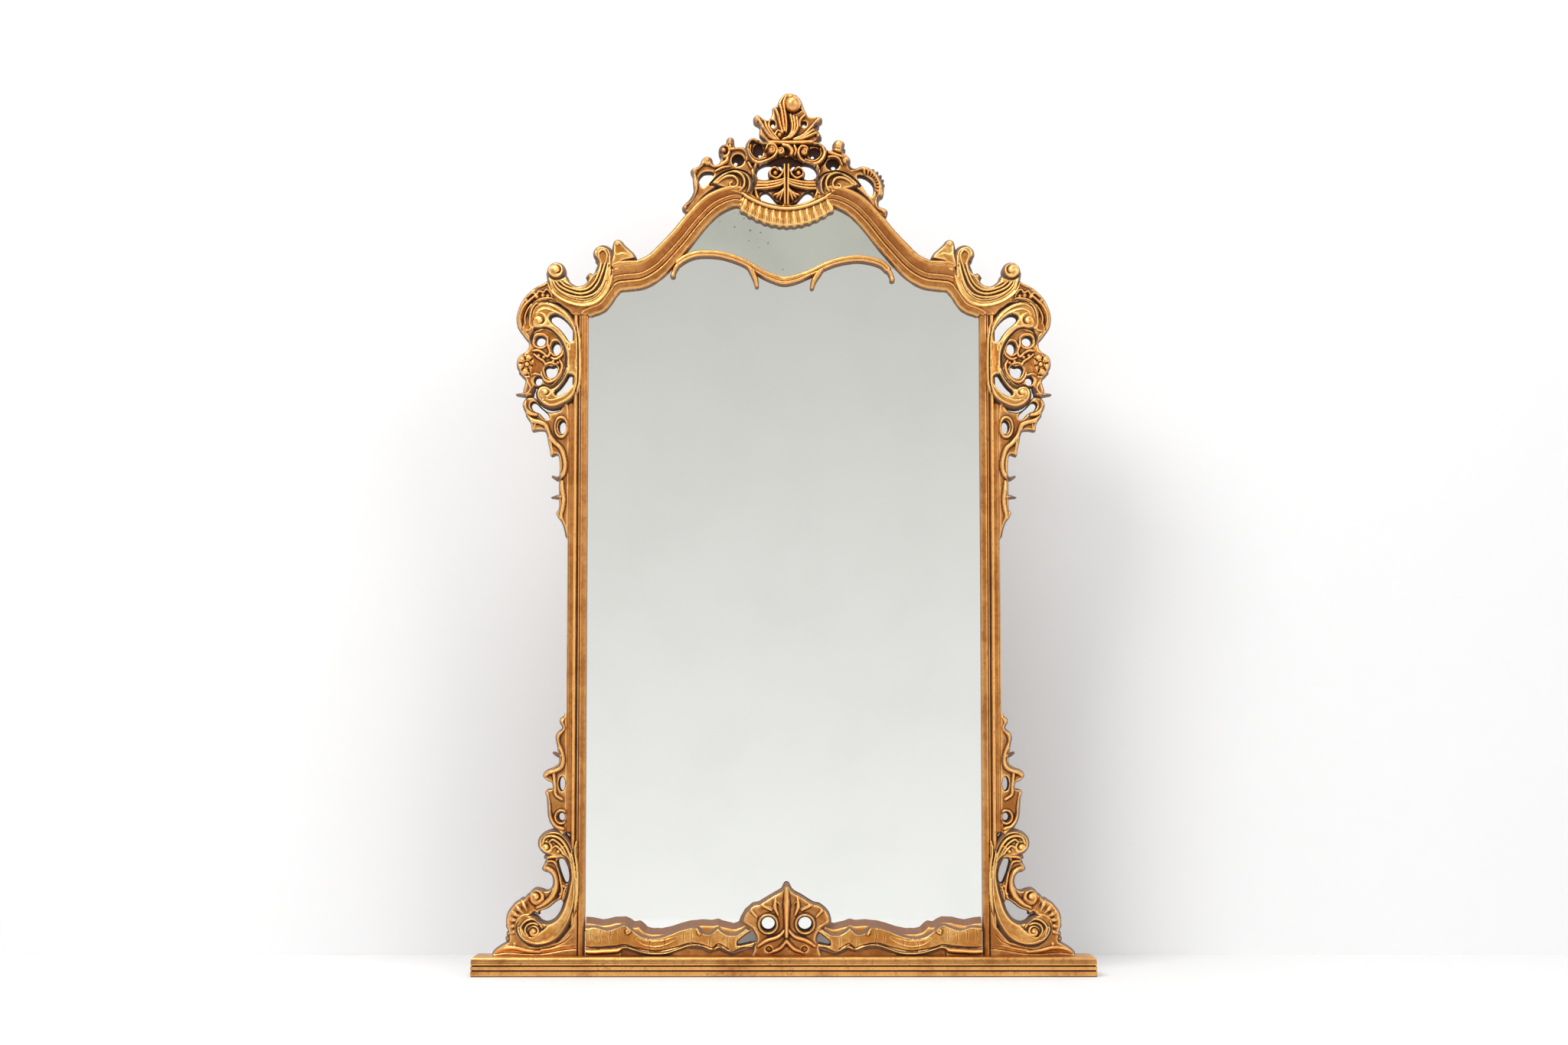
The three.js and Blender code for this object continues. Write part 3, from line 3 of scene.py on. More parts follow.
import bmesh
import bpy
import numpy as np
from mathutils import Matrix, Vector


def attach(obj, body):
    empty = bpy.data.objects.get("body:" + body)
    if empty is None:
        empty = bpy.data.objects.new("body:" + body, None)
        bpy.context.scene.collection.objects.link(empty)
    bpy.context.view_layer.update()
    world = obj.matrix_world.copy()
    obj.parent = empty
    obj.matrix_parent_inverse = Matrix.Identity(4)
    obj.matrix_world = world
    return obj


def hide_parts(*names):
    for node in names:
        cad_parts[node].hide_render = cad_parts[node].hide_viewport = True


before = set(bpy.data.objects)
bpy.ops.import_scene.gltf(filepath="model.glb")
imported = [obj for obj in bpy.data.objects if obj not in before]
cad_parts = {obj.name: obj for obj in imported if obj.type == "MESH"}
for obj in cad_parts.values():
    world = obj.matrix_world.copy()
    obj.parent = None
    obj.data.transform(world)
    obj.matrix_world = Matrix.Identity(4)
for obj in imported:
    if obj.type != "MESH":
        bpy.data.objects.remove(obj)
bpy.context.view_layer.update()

scene = bpy.context.scene
millimetre = 0.001
lift = -2.5  # the carvings are drawn from a line 2.5 mm above the floor
print("frame loaded")

# Camera: in front of the middle of the mirror, low, looking a little up
cameraSet = {"x": -8.2, "y": -4312, "z": 397.8, "yaw": 0.114, "pitch": 4.348, "roll": 0.0,
             "lens": 61.29}
cameraData = bpy.data.cameras.new("camera")
cameraData.lens = cameraSet["lens"]
cameraData.sensor_width = 36
cameraData.clip_start = 0.1
cameraData.clip_end = 60
camera = bpy.data.objects.new("camera", cameraData)
camera.location = [cameraSet[k] * millimetre for k in ("x", "y", "z")]
turn = Matrix.Rotation(math.radians(-cameraSet["yaw"]), 3, "Z")
turn = turn @ Matrix.Rotation(math.radians(90 + cameraSet["pitch"]), 3, "X")
turn = turn @ Matrix.Rotation(math.radians(cameraSet["roll"]), 3, "Z")
camera.rotation_euler = turn.to_euler()
scene.collection.objects.link(camera)
scene.camera = camera
scene.view_settings.view_transform = "Standard"


# Nodes. A sum or product with a Value adds a math node; put() links it or sets a number.

class Value:
    def __init__(self, node, key=0):
        self.socket, self.tree = node.outputs[key], node.id_data

    def __add__(self, other):
        return mathNode("ADD", self, other)

    def __radd__(self, other):
        return mathNode("ADD", other, self)

    def __sub__(self, other):
        return mathNode("SUBTRACT", self, other)

    def __rsub__(self, other):
        return mathNode("SUBTRACT", other, self)

    def __mul__(self, other):
        return mathNode("MULTIPLY", self, other)


def put(value, socket):
    if isinstance(value, bpy.types.Node):
        value = Value(value)
    if isinstance(value, Value):
        value.tree.links.new(value.socket, socket)
    else:
        socket.default_value = value


def addNode(tree, kind, inputs={}, **settings):
    node = tree.nodes.new(kind)
    node.location = (len(tree.nodes) % 8 * 200, len(tree.nodes) // 8 * -300)
    for key, value in settings.items():
        setattr(node, key, value)
    for key, value in inputs.items():
        put(value, node.inputs[key])
    return node


def newGroup(name, kind, inputs, outputs):
    # an input is given by its first value, or where it has none by the kind of its socket
    tree = bpy.data.node_groups.new(name, kind)
    kinds = {float: "Float", int: "Int", tuple: "Color"}
    for label, value in inputs.items():
        what = value if isinstance(value, str) else kinds[type(value)]
        socket = tree.interface.new_socket(label, in_out="INPUT", socket_type="NodeSocket" + what)
        if what != value:
            socket.default_value = value
    for label, what in outputs.items():
        tree.interface.new_socket(label, in_out="OUTPUT", socket_type="NodeSocket" + what)
    given = addNode(tree, "NodeGroupInput")
    return tree, lambda label: Value(given, label)


def mathNode(operation, a, b=None, clamp=False):
    tree = (a if isinstance(a, Value) else b).tree
    inputs = {0: a} if b is None else {0: a, 1: b}
    return Value(addNode(tree, "ShaderNodeMath", inputs, operation=operation, use_clamp=clamp))


def between(value, low, high):  # smooth step from 0 at low to 1 at high
    return Value(addNode(value.tree, "ShaderNodeMapRange", {
        "Value": value, "From Min": low, "From Max": high}, interpolation_type="SMOOTHSTEP"),
        "Result")


def blend(factor, a, b):  # from colour a to colour b
    return Value(addNode(factor.tree, "ShaderNodeMix", {"Factor": factor, "A": a, "B": b},
                         data_type="RGBA"), "Result")


def noise(vector, scale, detail=3, distortion=0, roughness=0.55):
    return Value(addNode(vector.tree, "ShaderNodeTexNoise", {
        "Vector": vector, "Scale": scale, "Detail": detail, "Roughness": roughness,
        "Distortion": distortion}), "Fac")


def gildingTree():
    # what worn leaf looks like, with painted shade in the hollows and pits and a painted highlight
    # on the ridges, from the four masks that each carving carries
    tree, get = newGroup("gilding", "ShaderNodeTree", {
        "Place": "Vector", "Carving": (0, 0, 0, 1), "Pit": 0.0, "Leaf": (0.55, 0.24, 0.06, 1),
        "Pale Leaf": (0.9, 0.62, 0.28, 1), "Bole": (0.28, 0.07, 0.03, 1),
        "Patina": (0.05, 0.018, 0.008, 1), "Rim Colour": (0.3, 0.2, 0.14, 1), "Wear": 0.5,
    }, {"Colour": "Color", "Roughness": "Float", "Metallic": "Float", "Height": "Float"})
    masks = addNode(tree, "ShaderNodeSeparateColor", {0: get("Carving")})
    hollow, ridge, rim = (Value(masks, k) for k in range(3))
    place, patinaAndShade = get("Place"), get("Patina")
    broad = noise(place, 17, 3, 0.6)
    fine = noise(place, 140, 4, 0.3, 0.65)
    grain = noise(place, 700)
    # leaf, paler at random and on the ridges, where it is partly burnish and partly a painted
    # highlight
    burnishAndHighlight = between(broad * 0.6 + fine * 0.45 + ridge * 0.55, 0.44, 0.88)
    leaf = blend(burnishAndHighlight, get("Leaf"), get("Pale Leaf"))
    # bole that shows through on the broad parts
    rubbed = between(fine * (get("Wear") + broad * 0.5), 0.42, 0.62)
    leaf = blend(rubbed * 0.6, leaf, get("Bole"))
    # patina and painted shade in the hollows, painted shade in the pits, old wood on the sides and
    # the back
    hollowPatinaShade = between(hollow + (fine - 0.5) * 0.35, 0.16, 0.8)
    side = between(rim + (fine - 0.5) * 0.3, 0.35, 0.6)
    pit = between(get("Pit"), 0.15, 0.55)
    colour = blend(hollowPatinaShade, leaf, patinaAndShade)
    colour = blend(side, colour, get("Rim Colour"))
    colour = blend(pit, colour, patinaAndShade)
    # specks of dirt
    cells = addNode(tree, "ShaderNodeTexVoronoi", {"Vector": place, "Scale": 240})
    speck = mathNode("LESS_THAN", Value(cells, "Distance"), 0.11) * between(broad, 0.45, 0.7)
    colour = blend(speck * 0.7, colour, patinaAndShade)
    dull = mathNode("MAXIMUM", mathNode("MAXIMUM", hollowPatinaShade, side), pit)
    addNode(tree, "NodeGroupOutput", {
        "Colour": colour, "Roughness": dull * 0.3 + (fine * 0.22 + 0.24),
        "Metallic": mathNode("SUBTRACT", 0.92 - dull * 0.75, rubbed * 0.35, True),
        "Height": fine * 0.7 + grain * 0.3})
    return tree


def startMaterial(name):
    material = bpy.data.materials.new(name)
    material.use_nodes = True
    tree = material.node_tree
    tree.nodes.clear()
    surface = addNode(tree, "ShaderNodeBsdfPrincipled")
    addNode(tree, "ShaderNodeOutputMaterial", {0: surface})
    return material, surface, Value(addNode(tree, "ShaderNodeTexCoord"), "Object")


def useGroup(surface, group, inputs):
    node = addNode(surface.id_data, "ShaderNodeGroup", node_tree=group)
    for label, value in inputs.items():
        put(value, node.inputs[label])
    for label, socket in (("Colour", "Base Color"), ("Roughness", "Roughness"),
                          ("Metallic", "Metallic")):
        if label in node.outputs:
            put(Value(node, label), surface.inputs[socket])
    return node


def bumped(surface, height, strength, distance):
    put(addNode(surface.id_data, "ShaderNodeBump", {
        "Strength": strength, "Distance": distance, "Height": height}), surface.inputs["Normal"])


gilding = gildingTree()


def giltMaterial(name, leaf, paleLeafAndHighlight, bole, patinaAndShade, rimColour, wear):
    material, surface, place = startMaterial(name)
    carving = addNode(material.node_tree, "ShaderNodeAttribute", attribute_name="carving")
    colours = {"Leaf": leaf, "Pale Leaf": paleLeafAndHighlight, "Bole": bole, "Patina": patinaAndShade,
               "Rim Colour": rimColour}
    group = useGroup(surface, gilding, {
        "Place": place, "Carving": Value(carving, "Color"), "Pit": Value(carving, "Alpha"),
        "Wear": wear, **{label: (*colour, 1) for label, colour in colours.items()}})
    bumped(surface, Value(group, "Height"), 0.5, 0.0007)
    return material


gilt = {
    "moulding": giltMaterial("gilt_moulding", (0.37, 0.13, 0.03), (0.86, 0.45, 0.14),
                             (0.22, 0.055, 0.022), (0.06, 0.017, 0.007), (0.24, 0.12, 0.07), 0.55),
    "scroll": giltMaterial("gilt_scroll", (0.47, 0.18, 0.036), (0.98, 0.62, 0.22),
                           (0.26, 0.07, 0.025), (0.06, 0.016, 0.006), (0.24, 0.14, 0.09), 0.46),
    "leaf": giltMaterial("gilt_leaf", (0.37, 0.13, 0.028), (0.92, 0.52, 0.18),
                         (0.24, 0.062, 0.024), (0.05, 0.014, 0.006), (0.24, 0.145, 0.1), 0.54),
}
print("gilding materials made")


# Relief carving. A piece is a height field on a square grid: outlines and strokes are laid
# over each other, the piece is cut out with leaning sides, and its back is flat.

def curveThrough(points, step=1.2, closed=False):
    rows = np.array(points, float)
    count = len(rows)
    if closed:
        rows = np.vstack([rows[-1], rows, rows[0], rows[1]])
        spans = count
    else:
        rows = np.vstack([2 * rows[0] - rows[1], rows, 2 * rows[-1] - rows[-2]])
        spans = count - 1
    pieces = []
    for i in range(spans):
        a, b, c, d = rows[i:i + 4]
        n = max(2, int(np.hypot(*(c[:2] - b[:2])) / step))
        t = (np.arange(n) / n)[:, None]
        pieces.append(0.5 * (2 * b + (c - a) * t + (2 * a - 5 * b + 4 * c - d) * t**2
                             + (3 * b - a - 3 * c + d) * t**3))
        if rows.shape[1] > 2:  # widths and heights go straight from point to point
            pieces[-1][:, 2:] = b[2:] + (c[2:] - b[2:]) * t
    if not closed:
        pieces.append(rows[-2][None])
    return np.vstack(pieces)


def insideOutline(x, z, outline):
    ring = curveThrough(outline, 2.2, True)
    nearest = np.full(x.shape, 1e9)
    crossed = np.zeros(x.shape, bool)
    for (ax, az), (bx, bz) in zip(ring, np.roll(ring, -1, 0)):
        dx, dz = bx - ax, bz - az
        t = np.clip(((x - ax) * dx + (z - az) * dz) / (dx * dx + dz * dz + 1e-9), 0, 1)
        nearest = np.minimum(nearest, (x - ax - t * dx)**2 + (z - az - t * dz)**2)
        if az != bz:
            crossed ^= ((az > z) != (bz > z)) & (x < (bx - ax) * (z - az) / (bz - az) + ax)
    return np.where(crossed, 1, -1) * np.sqrt(nearest)


def softMax(a, b, k):
    h = np.clip(0.5 + 0.5 * (a - b) / k, 0, 1)
    return b + (a - b) * h + k * h * (1 - h)


def softMin(a, b, k):
    return -softMax(-a, -b, k)


strokeSections = {  # [across, height]: -1 is the right of the way the stroke runs
    "scoops": [(-1, 0.3), (-0.9, 0.82), (-0.78, 1), (-0.66, 0.9), (-0.56, 0.66), (-0.2, 0.52),
               (0.15, 0.5), (0.5, 0.68), (0.64, 0.92), (0.78, 1), (0.9, 0.82), (1, 0.3)],
    "rolls": [(-1, 0.3), (-0.85, 0.66), (-0.6, 0.88), (-0.25, 0.99), (0, 1), (0.25, 0.99),
              (0.6, 0.88), (0.85, 0.66), (1, 0.3)],
    "veins": [(-1, 0.2), (-0.5, 0.6), (-0.15, 0.94), (0, 1), (0.15, 0.94), (0.5, 0.6), (1, 0.2)],
    "flutes": [(-1, 0.35), (-0.92, 0.8), (-0.82, 1), (-0.72, 0.84), (-0.6, 0.66), (-0.46, 0.92),
               (-0.36, 0.98), (-0.26, 0.8), (-0.12, 0.62), (0.04, 0.86), (0.14, 0.92),
               (0.26, 0.74), (0.4, 0.6), (0.54, 0.84), (0.64, 0.9), (0.74, 0.72), (0.84, 0.66),
               (0.93, 0.7), (1, 0.3)],
    "bands": [(-1, 0.5), (-0.94, 0.9), (-0.8, 1), (0.8, 1), (0.94, 0.9), (1, 0.5)],
    "channels": [(-1, 0.96), (-0.8, 0.93), (-0.4, 0.84), (0, 0.8), (0.4, 0.84), (0.8, 0.93),
                 (1, 0.96)],
}
strokeKinds = ("channels", "rolls", "leaves", "bands", "flutes", "scoops", "veins")


def strokeField(x, z, points):
    line = curveThrough(points, 1.0)
    ways = np.gradient(line[:, :2], axis=0)
    ways /= np.maximum(np.hypot(ways[:, 0], ways[:, 1]), 1e-6)[:, None]
    along = np.concatenate([[0], np.cumsum(np.hypot(*np.diff(line[:, :2], axis=0).T))])
    best = np.full(x.shape, 1e9)
    which = np.zeros(x.shape, int)
    for i, (px, pz) in enumerate(line[:, :2]):
        d = (x - px)**2 + (z - pz)**2
        near = d < best
        best[near] = d[near]
        which[near] = i
    dx, dz = x - line[which, 0], z - line[which, 1]
    side = np.sign(dx * ways[which, 1] - dz * ways[which, 0])
    away = np.abs(dx * ways[which, 1] - dz * ways[which, 0])
    ends = (which == 0) | (which == len(line) - 1)
    away = np.where(ends, np.sqrt(best), away)
    return away, side, along[which] + dx * ways[which, 0] + dz * ways[which, 1], \
        line[which, 2] / 2, line[which, 3]


def layStroke(field, kind, points):
    x, z = field["x"], field["z"]
    rows = np.array(points, float)
    reach = rows[:, 2].max() / 2 + 14
    box = (slice(*np.searchsorted(z[:, 0], [rows[:, 1].min() - reach, rows[:, 1].max() + reach])),
           slice(*np.searchsorted(x[0], [rows[:, 0].min() - reach, rows[:, 0].max() + reach])))
    if x[box].size == 0:
        return
    away, side, along, half, height = strokeField(x[box], z[box], points)
    if kind == "leaves":  # a roll with notched edges and slanting veins
        pitch = np.clip(half * 1.5, 4, 11)
        phase = (along - away * 0.9) / pitch
        lobe = np.abs(np.cos(np.pi * phase))
        half = half * (0.8 + 0.2 * lobe**0.5)
        u = away / np.maximum(half, 0.1)
        top = height * (0.55 + 0.45 * np.sqrt(np.clip(1 - u**2, 0, 1)))
        top -= 0.16 * height * (1 - lobe)**2 * np.clip(u * 1.6, 0, 1)
        top += 0.1 * height * np.exp(-(u / 0.16)**2)
    else:
        u = side * away / np.maximum(half, 0.1)
        table = np.array(strokeSections[kind])
        top = height * np.interp(u, table[:, 0], table[:, 1])
    over = np.clip(away - half, 0, None)
    foot = height * 0.3
    top = np.where(away > half, foot - over * 2.6, top)
    field["top"][box] = softMax(field["top"][box], top, 0.9)
    field["inside"][box] = softMax(field["inside"][box], half - away, 1.2)


def layRound(field, kind, x0, z0, radius, height, turned=1.0):
    x, z = field["x"] - x0, field["z"] - z0
    r = np.hypot(x, z) / radius
    if kind == "knobs":
        top = height * (0.35 + 0.65 * np.sqrt(np.clip(1 - r**2, 0, 1)))
    else:  # the coiled end of a scroll
        angle = np.arctan2(z, x) * turned
        coil = np.mod(r * 1.15 - angle / (2 * np.pi), 1)
        groove = np.exp(-((coil - 0.5) / 0.16)**2) * np.clip((r - 0.2) * 4, 0, 1)
        top = height * (0.62 + 0.38 * np.sqrt(np.clip(1 - r**2, 0, 1)) - 0.34 * groove)
        top += height * 0.12 * np.exp(-(r / 0.24)**2)
    top = np.where(r > 1, 0.35 * height - (r - 1) * radius * 2.6, top)
    field["top"] = softMax(field["top"], top, 0.7)
    field["inside"] = softMax(field["inside"], (1 - r) * radius, 1.0)


def layRing(field, x0, z0, radiusX, radiusZ, width, height):
    x, z = (field["x"] - x0) / radiusX, (field["z"] - z0) / radiusZ
    r = np.hypot(x, z)
    off = (r - 1) * (radiusX + radiusZ) / 2 / (width / 2)
    top = height * (0.4 + 0.6 * np.sqrt(np.clip(1 - off**2, 0, 1)))
    top = np.where(np.abs(off) > 1, 0.4 * height - (np.abs(off) - 1) * width * 1.3, top)
    top = np.where(r < 1 - width / (radiusX + radiusZ), -30, top)
    field["top"] = softMax(field["top"], top, 0.7)
    field["inside"] = softMax(field["inside"], (1 - np.abs(off)) * width / 2, 0.8)


def blurred(values, reach):
    weights = np.exp(-0.5 * (np.arange(-2 * reach, 2 * reach + 1) / reach)**2)
    weights /= weights.sum()
    for axis in (0, 1):
        padded = np.pad(values, [(2 * reach, 2 * reach) if a == axis else (0, 0)
                                 for a in (0, 1)], mode="edge")
        values = sum(w * np.take(padded, range(i, i + values.shape[axis]), axis)
                     for i, w in enumerate(weights))
    return values


reliefSet = {  # mm; what a piece says of itself goes before these
    "back": 22, "ground": -3,  # y of the back and of the ground between the strokes
    "sideFrom": -5, "slope": 3.8,  # height at the outline, and its rise toward the middle
    "holeFrom": -9, "holeSlope": 9,  # the same at the rim of a hole
    "waver": 0.2, "waverReach": 4,  # the unevenness of hand work
    "thinnest": 0.2, "jointGap": 0.05,
}


def share(value, span):
    return np.clip(value / span, 0, 1)


def marched(inside):
    # polygons of the part of the grid where inside > 0, and the edges along its outline
    least = 0.08  # a point nearer to the outline would make slivers
    value = np.where(np.abs(inside) < least, np.where(inside < 0, -least, least), inside)
    filled = value > 0
    corner = np.full(filled.shape, -1)
    corner[filled] = np.arange(filled.sum())
    rows, columns = np.nonzero(filled)
    places = [np.stack([rows, columns, rows, columns, np.zeros(len(rows))], 1)]
    total = filled.sum()
    crossings = []
    for axis in (1, 0):
        low = (slice(None), slice(None, -1)) if axis else (slice(None, -1), slice(None))
        high = (slice(None), slice(1, None)) if axis else (slice(1, None), slice(None))
        cut = filled[low] != filled[high]
        part = value[low][cut] / (value[low][cut] - value[high][cut])
        r, c = np.nonzero(cut)
        places.append(np.stack([r, c, r + (1 - axis), c + axis, part], 1))
        ids = np.full(cut.shape, -1)
        ids[cut] = total + np.arange(cut.sum())
        total += cut.sum()
        crossings.append(ids)
    flat, upright = crossings
    around = np.stack([corner[:-1, :-1], flat[:-1], corner[:-1, 1:], upright[:, 1:],
                       corner[1:, 1:], flat[1:], corner[1:, :-1], upright[:, :-1]], -1)
    around = around.reshape(-1, 8)
    around = around[(around >= 0).any(1)]
    code = (around >= 0) @ (1 << np.arange(8))
    faces, edges = [], []
    for one in np.unique(code):
        chosen = [k for k in range(8) if one >> k & 1]
        block = around[code == one][:, chosen]
        faces.append(block)
        for i, k in enumerate(chosen):
            if k % 2 and chosen[(i + 1) % len(chosen)] % 2:
                edges.append(block[:, [i, (i + 1) % len(chosen)]])
    return np.vstack(places), faces, np.vstack(edges)


def meshFrom(name, points, faces, flatFrom, carving, material, mirror=False):
    points = np.array(points, float) * millimetre
    if mirror:
        points[:, 0] *= -1
        faces = [block[:, ::-1] for block in faces]
    mesh = bpy.data.meshes.new(name)
    loops = np.concatenate([block.ravel() for block in faces]).astype(np.int32)
    sizes = np.concatenate([np.full(len(block), block.shape[1]) for block in faces])
    starts = np.concatenate([[0], np.cumsum(sizes)[:-1]]).astype(np.int32)
    mesh.vertices.add(len(points))
    mesh.vertices.foreach_set("co", points.astype(np.float32).ravel())
    mesh.loops.add(len(loops))
    mesh.loops.foreach_set("vertex_index", loops)
    mesh.polygons.add(len(starts))
    mesh.polygons.foreach_set("loop_start", starts)
    smooth = np.arange(len(starts)) < sum(len(block) for block in faces[:flatFrom])
    mesh.polygons.foreach_set("use_smooth", smooth)
    mesh.update(calc_edges=True)
    setMasks(mesh, carving)
    mesh.materials.append(material)
    mesh.validate()
    return placed(name, mesh)


def setMasks(mesh, masks):
    layer = mesh.attributes.new("carving", "FLOAT_COLOR", "POINT")
    layer.data.foreach_set("color", np.array(masks, np.float32).ravel())


def placed(name, data):
    made = bpy.data.objects.new(name, data)
    scene.collection.objects.link(made)
    return made


def ride(piece, slotName, *nodes, body="frame"):
    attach(piece, body)
    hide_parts(*nodes)


def layPieces(field, piece):
    x, z = field["x"], field["z"]
    ground = -piece.get("ground", reliefSet["ground"])
    for outline in piece.get("grounds", []):
        depth = insideOutline(x, z, outline)
        crown = np.clip(depth, 0, 7) * 0.12
        top = np.where(depth > 0, ground + crown, ground + depth * 2.6)
        field["top"] = softMax(field["top"], top, 1.0)
        field["inside"] = softMax(field["inside"], depth, 1.0)
    for moulding in piece.get("mouldings", []):
        layMoulding(field, *moulding)
    for ring in piece.get("rings", []):
        layRing(field, *ring)
    for kind in strokeKinds:
        for points in piece.get(kind, []):
            layStroke(field, kind, points)
    for kind in ("knobs", "eyes"):
        for one in piece.get(kind, []):
            layRound(field, kind, *one)
    for points in piece.get("cuts", []):  # fine grooves: x, z, width, depth
        away, _, _, half, depth = strokeField(x, z, points)
        field["top"] -= depth * np.exp(-(away / np.maximum(half, 0.2))**2 * 1.5)


def layMoulding(field, path, section):
    # a moulding laid along the line, to the left of the way it runs
    x, z = field["x"], field["z"]
    away, side, along, half, _ = strokeField(x, z, [(*row, 1) for row in path])
    width = half * 2
    out = -side * away
    table = np.array(section)
    top = np.interp(out / width, table[:, 0], table[:, 1])
    field["top"] = np.maximum(field["top"], np.where((out > -1) & (out < width), top, -30))
    length = np.hypot(*np.diff(curveThrough(path, 1.0)[:, :2], axis=0).T).sum()
    ends = np.minimum(along, length - along)
    inside = np.minimum(np.minimum(out, width - out), ends)
    field["inside"] = np.maximum(field["inside"], inside)


def gridAround(piece, pitch, margin=4):
    rounds = [one[:3] for kind in ("knobs", "eyes") for one in piece.get(kind, [])]
    rounds += [point for path, _ in piece.get("mouldings", []) for point in path]
    for kind in ("grounds", *strokeKinds):
        for points in piece.get(kind, []):
            rounds += [(p[0], p[1], p[2] / 2 if len(p) > 2 else 0) for p in points]
    rounds = np.array(rounds)
    low = np.floor((rounds[:, :2] - rounds[:, 2:]).min(0)) - margin
    high = np.ceil((rounds[:, :2] + rounds[:, 2:]).max(0)) + margin
    return np.meshgrid(np.arange(low[0], high[0], pitch), np.arange(low[1], high[1], pitch))


def emptyField(x, z):
    return {"x": x, "z": z, "top": np.full(x.shape, -30.0), "inside": np.full(x.shape, -60.0)}


def roomOf(x, z, piece):  # how far inside a piece's outline each point lies
    room = emptyField(x, z)
    layPieces(room, piece)
    holes = [-insideOutline(x, z, hole) for hole in piece.get("holes", [])]
    for axis, low, high in piece.get("limits", []):
        value = x if axis == "x" else z
        holes += [value - low, high - value]
    return np.minimum.reduce([room["inside"], *holes])


def relief(piece, before=(), after=(), pitch=1.0, seed=1):
    # the height field of one drawn piece, cut out, with its masks. The pieces before it take
    # their room from it, and its sides don't lean where it runs on into those or the ones after.
    x, z = gridAround(piece, pitch)
    field = emptyField(x, z)
    layPieces(field, piece)
    piece = {**reliefSet, **piece}
    back = np.full(x.shape, float(piece["back"]))
    if "rebate" in piece:
        back[insideOutline(x, z, piece["rebate"]) > 0] = lipBack
    outer = field["inside"]
    pierced = np.full(x.shape, 60.0)
    for hole in piece.get("holes", []):
        pierced = np.minimum(pierced, -insideOutline(x, z, hole))
    kept = np.minimum(outer, pierced)
    for pit in piece.get("pits", []):  # deep and dark from their depth, their walls darkened further with painted shade, but not through
        pierced = np.minimum(pierced, np.maximum(-insideOutline(x, z, pit), 0))
    for axis, low, high in piece.get("limits", []):  # straight joints
        value = x if axis == "x" else z
        kept = np.minimum(kept, np.minimum(value - low, high - value))
    reach = outer
    for k, other in enumerate([*before, *after]):
        room = roomOf(x, z, other)
        reach = np.maximum(reach, room)
        if k < len(before):
            kept = np.minimum(kept, -room - piece["jointGap"])
    rng = np.random.default_rng(seed)
    hand = blurred(rng.normal(0, 1, x.shape), piece["waverReach"])
    top = field["top"] + hand / hand.std() * piece["waver"]
    side = piece["sideFrom"] + reach * piece["slope"]
    wall = np.maximum(pierced, 0) * piece["holeSlope"] + piece["holeFrom"]
    height = softMin(softMin(top, side, 1.2), wall, 1.0)
    height = np.clip(height, -back + 0.25, None)
    # masks: how much a point leans at the rim or in a pit, how hollow and how raised it is; the pit
    # mask paints shade on steep walls, the hollow mask patina with painted shade, the raised one
    # burnish with a painted highlight
    lean = share(top - height - 0.6, 3)
    rim = lean * (side <= wall)
    pit = lean * (side > wall) * share(4 - height, 8)
    shown = np.clip(height, -4, 60)
    near, far = blurred(shown, 1), blurred(shown, 3)
    hollow = share(near - shown, 0.55) * 0.6 + share(far - shown - 0.5, 2) * 0.7
    ridge = share(shown - near, 0.45) * 0.5 + share(shown - far, 2.4) * 0.6
    masks = np.stack([np.clip(hollow, 0, 1), np.clip(ridge, 0, 1), rim, pit], -1)
    places, faces, edges = marched(kept / pitch)
    ra, ca, rb, cb = places[:, :4].astype(int).T
    part = places[:, 4]

    def mixed(grid):
        return grid[ra, ca] * (1 - part) + grid[rb, cb] * part

    count = len(places)
    nearer = kept[ra, ca] > 0
    backHere = np.where(nearer, back[ra, ca], back[rb, cb])
    front = np.stack([mixed(x), np.minimum(-mixed(height), backHere - piece["thinnest"]),
                      mixed(z)], 1)
    behind = front.copy()
    behind[:, 1] = backHere
    carving = np.stack([mixed(masks[..., k]) for k in range(4)], 1)
    points = np.vstack([front, behind])
    points[:, 2] += lift
    carving = np.vstack([carving, carving * 0.3 + np.array([0.1, 0, 0.7, 0])])
    walls = np.stack([edges[:, 1], edges[:, 0], edges[:, 0] + count, edges[:, 1] + count], 1)
    rear = [block[:, ::-1] + count for block in faces]
    return points, [*faces, walls, *rear], len(faces), carving


def carve(name, piece, before, after, look, both=True, pitch=1.0, seed=1):
    points, faces, flatFrom, carving = relief(piece, before, after, pitch, seed)
    used = np.zeros(len(points), bool)
    for block in faces:
        used[block.ravel()] = True
    renumbered = np.cumsum(used) - 1
    faces = [renumbered[block] for block in faces]
    for side, mirror in (("left", False), ("right", True)) if both else (("", False),):
        label = name + "_" + side if both else name
        made = meshFrom(label + "_carving", points[used], faces, flatFrom, carving[used],
                        gilt[look], mirror)
        ride(made, "gilt_" + look, label)
    print("carved", name, used.sum(), "points")


def oval(x, z, radiusX, radiusZ, sides=12):
    return [(x + radiusX * math.cos(2 * math.pi * i / sides),
             z + radiusZ * math.sin(2 * math.pi * i / sides)) for i in range(sides)]


def flipped(points):
    return [(-p[0], *p[1:]) for p in points]


# Lines that several pieces share. Outlines and strokes are in mm, as (x, z) and as
# (x, z, width, height over y = 0); the left side is drawn, seen from the front.
lipBack = 12.5  # back of the lip that holds the glass
frameBack = 28
foot = 33.8  # top of the plinth in the drawing
sightLine = [
    (-316, 70), (-316, 1066), (-300, 1071), (-290, 1077), (-283, 1085), (-275, 1097),
    (-265, 1109), (-250, 1109), (-230, 1112), (-210, 1123), (-190, 1139), (-165, 1166),
    (-150, 1184), (-130, 1210), (-110, 1231), (-95, 1241), (-80, 1247),
]
crown = [(-62, 1236), (-30, 1226), (5, 1222), (38, 1226), (66, 1237)]


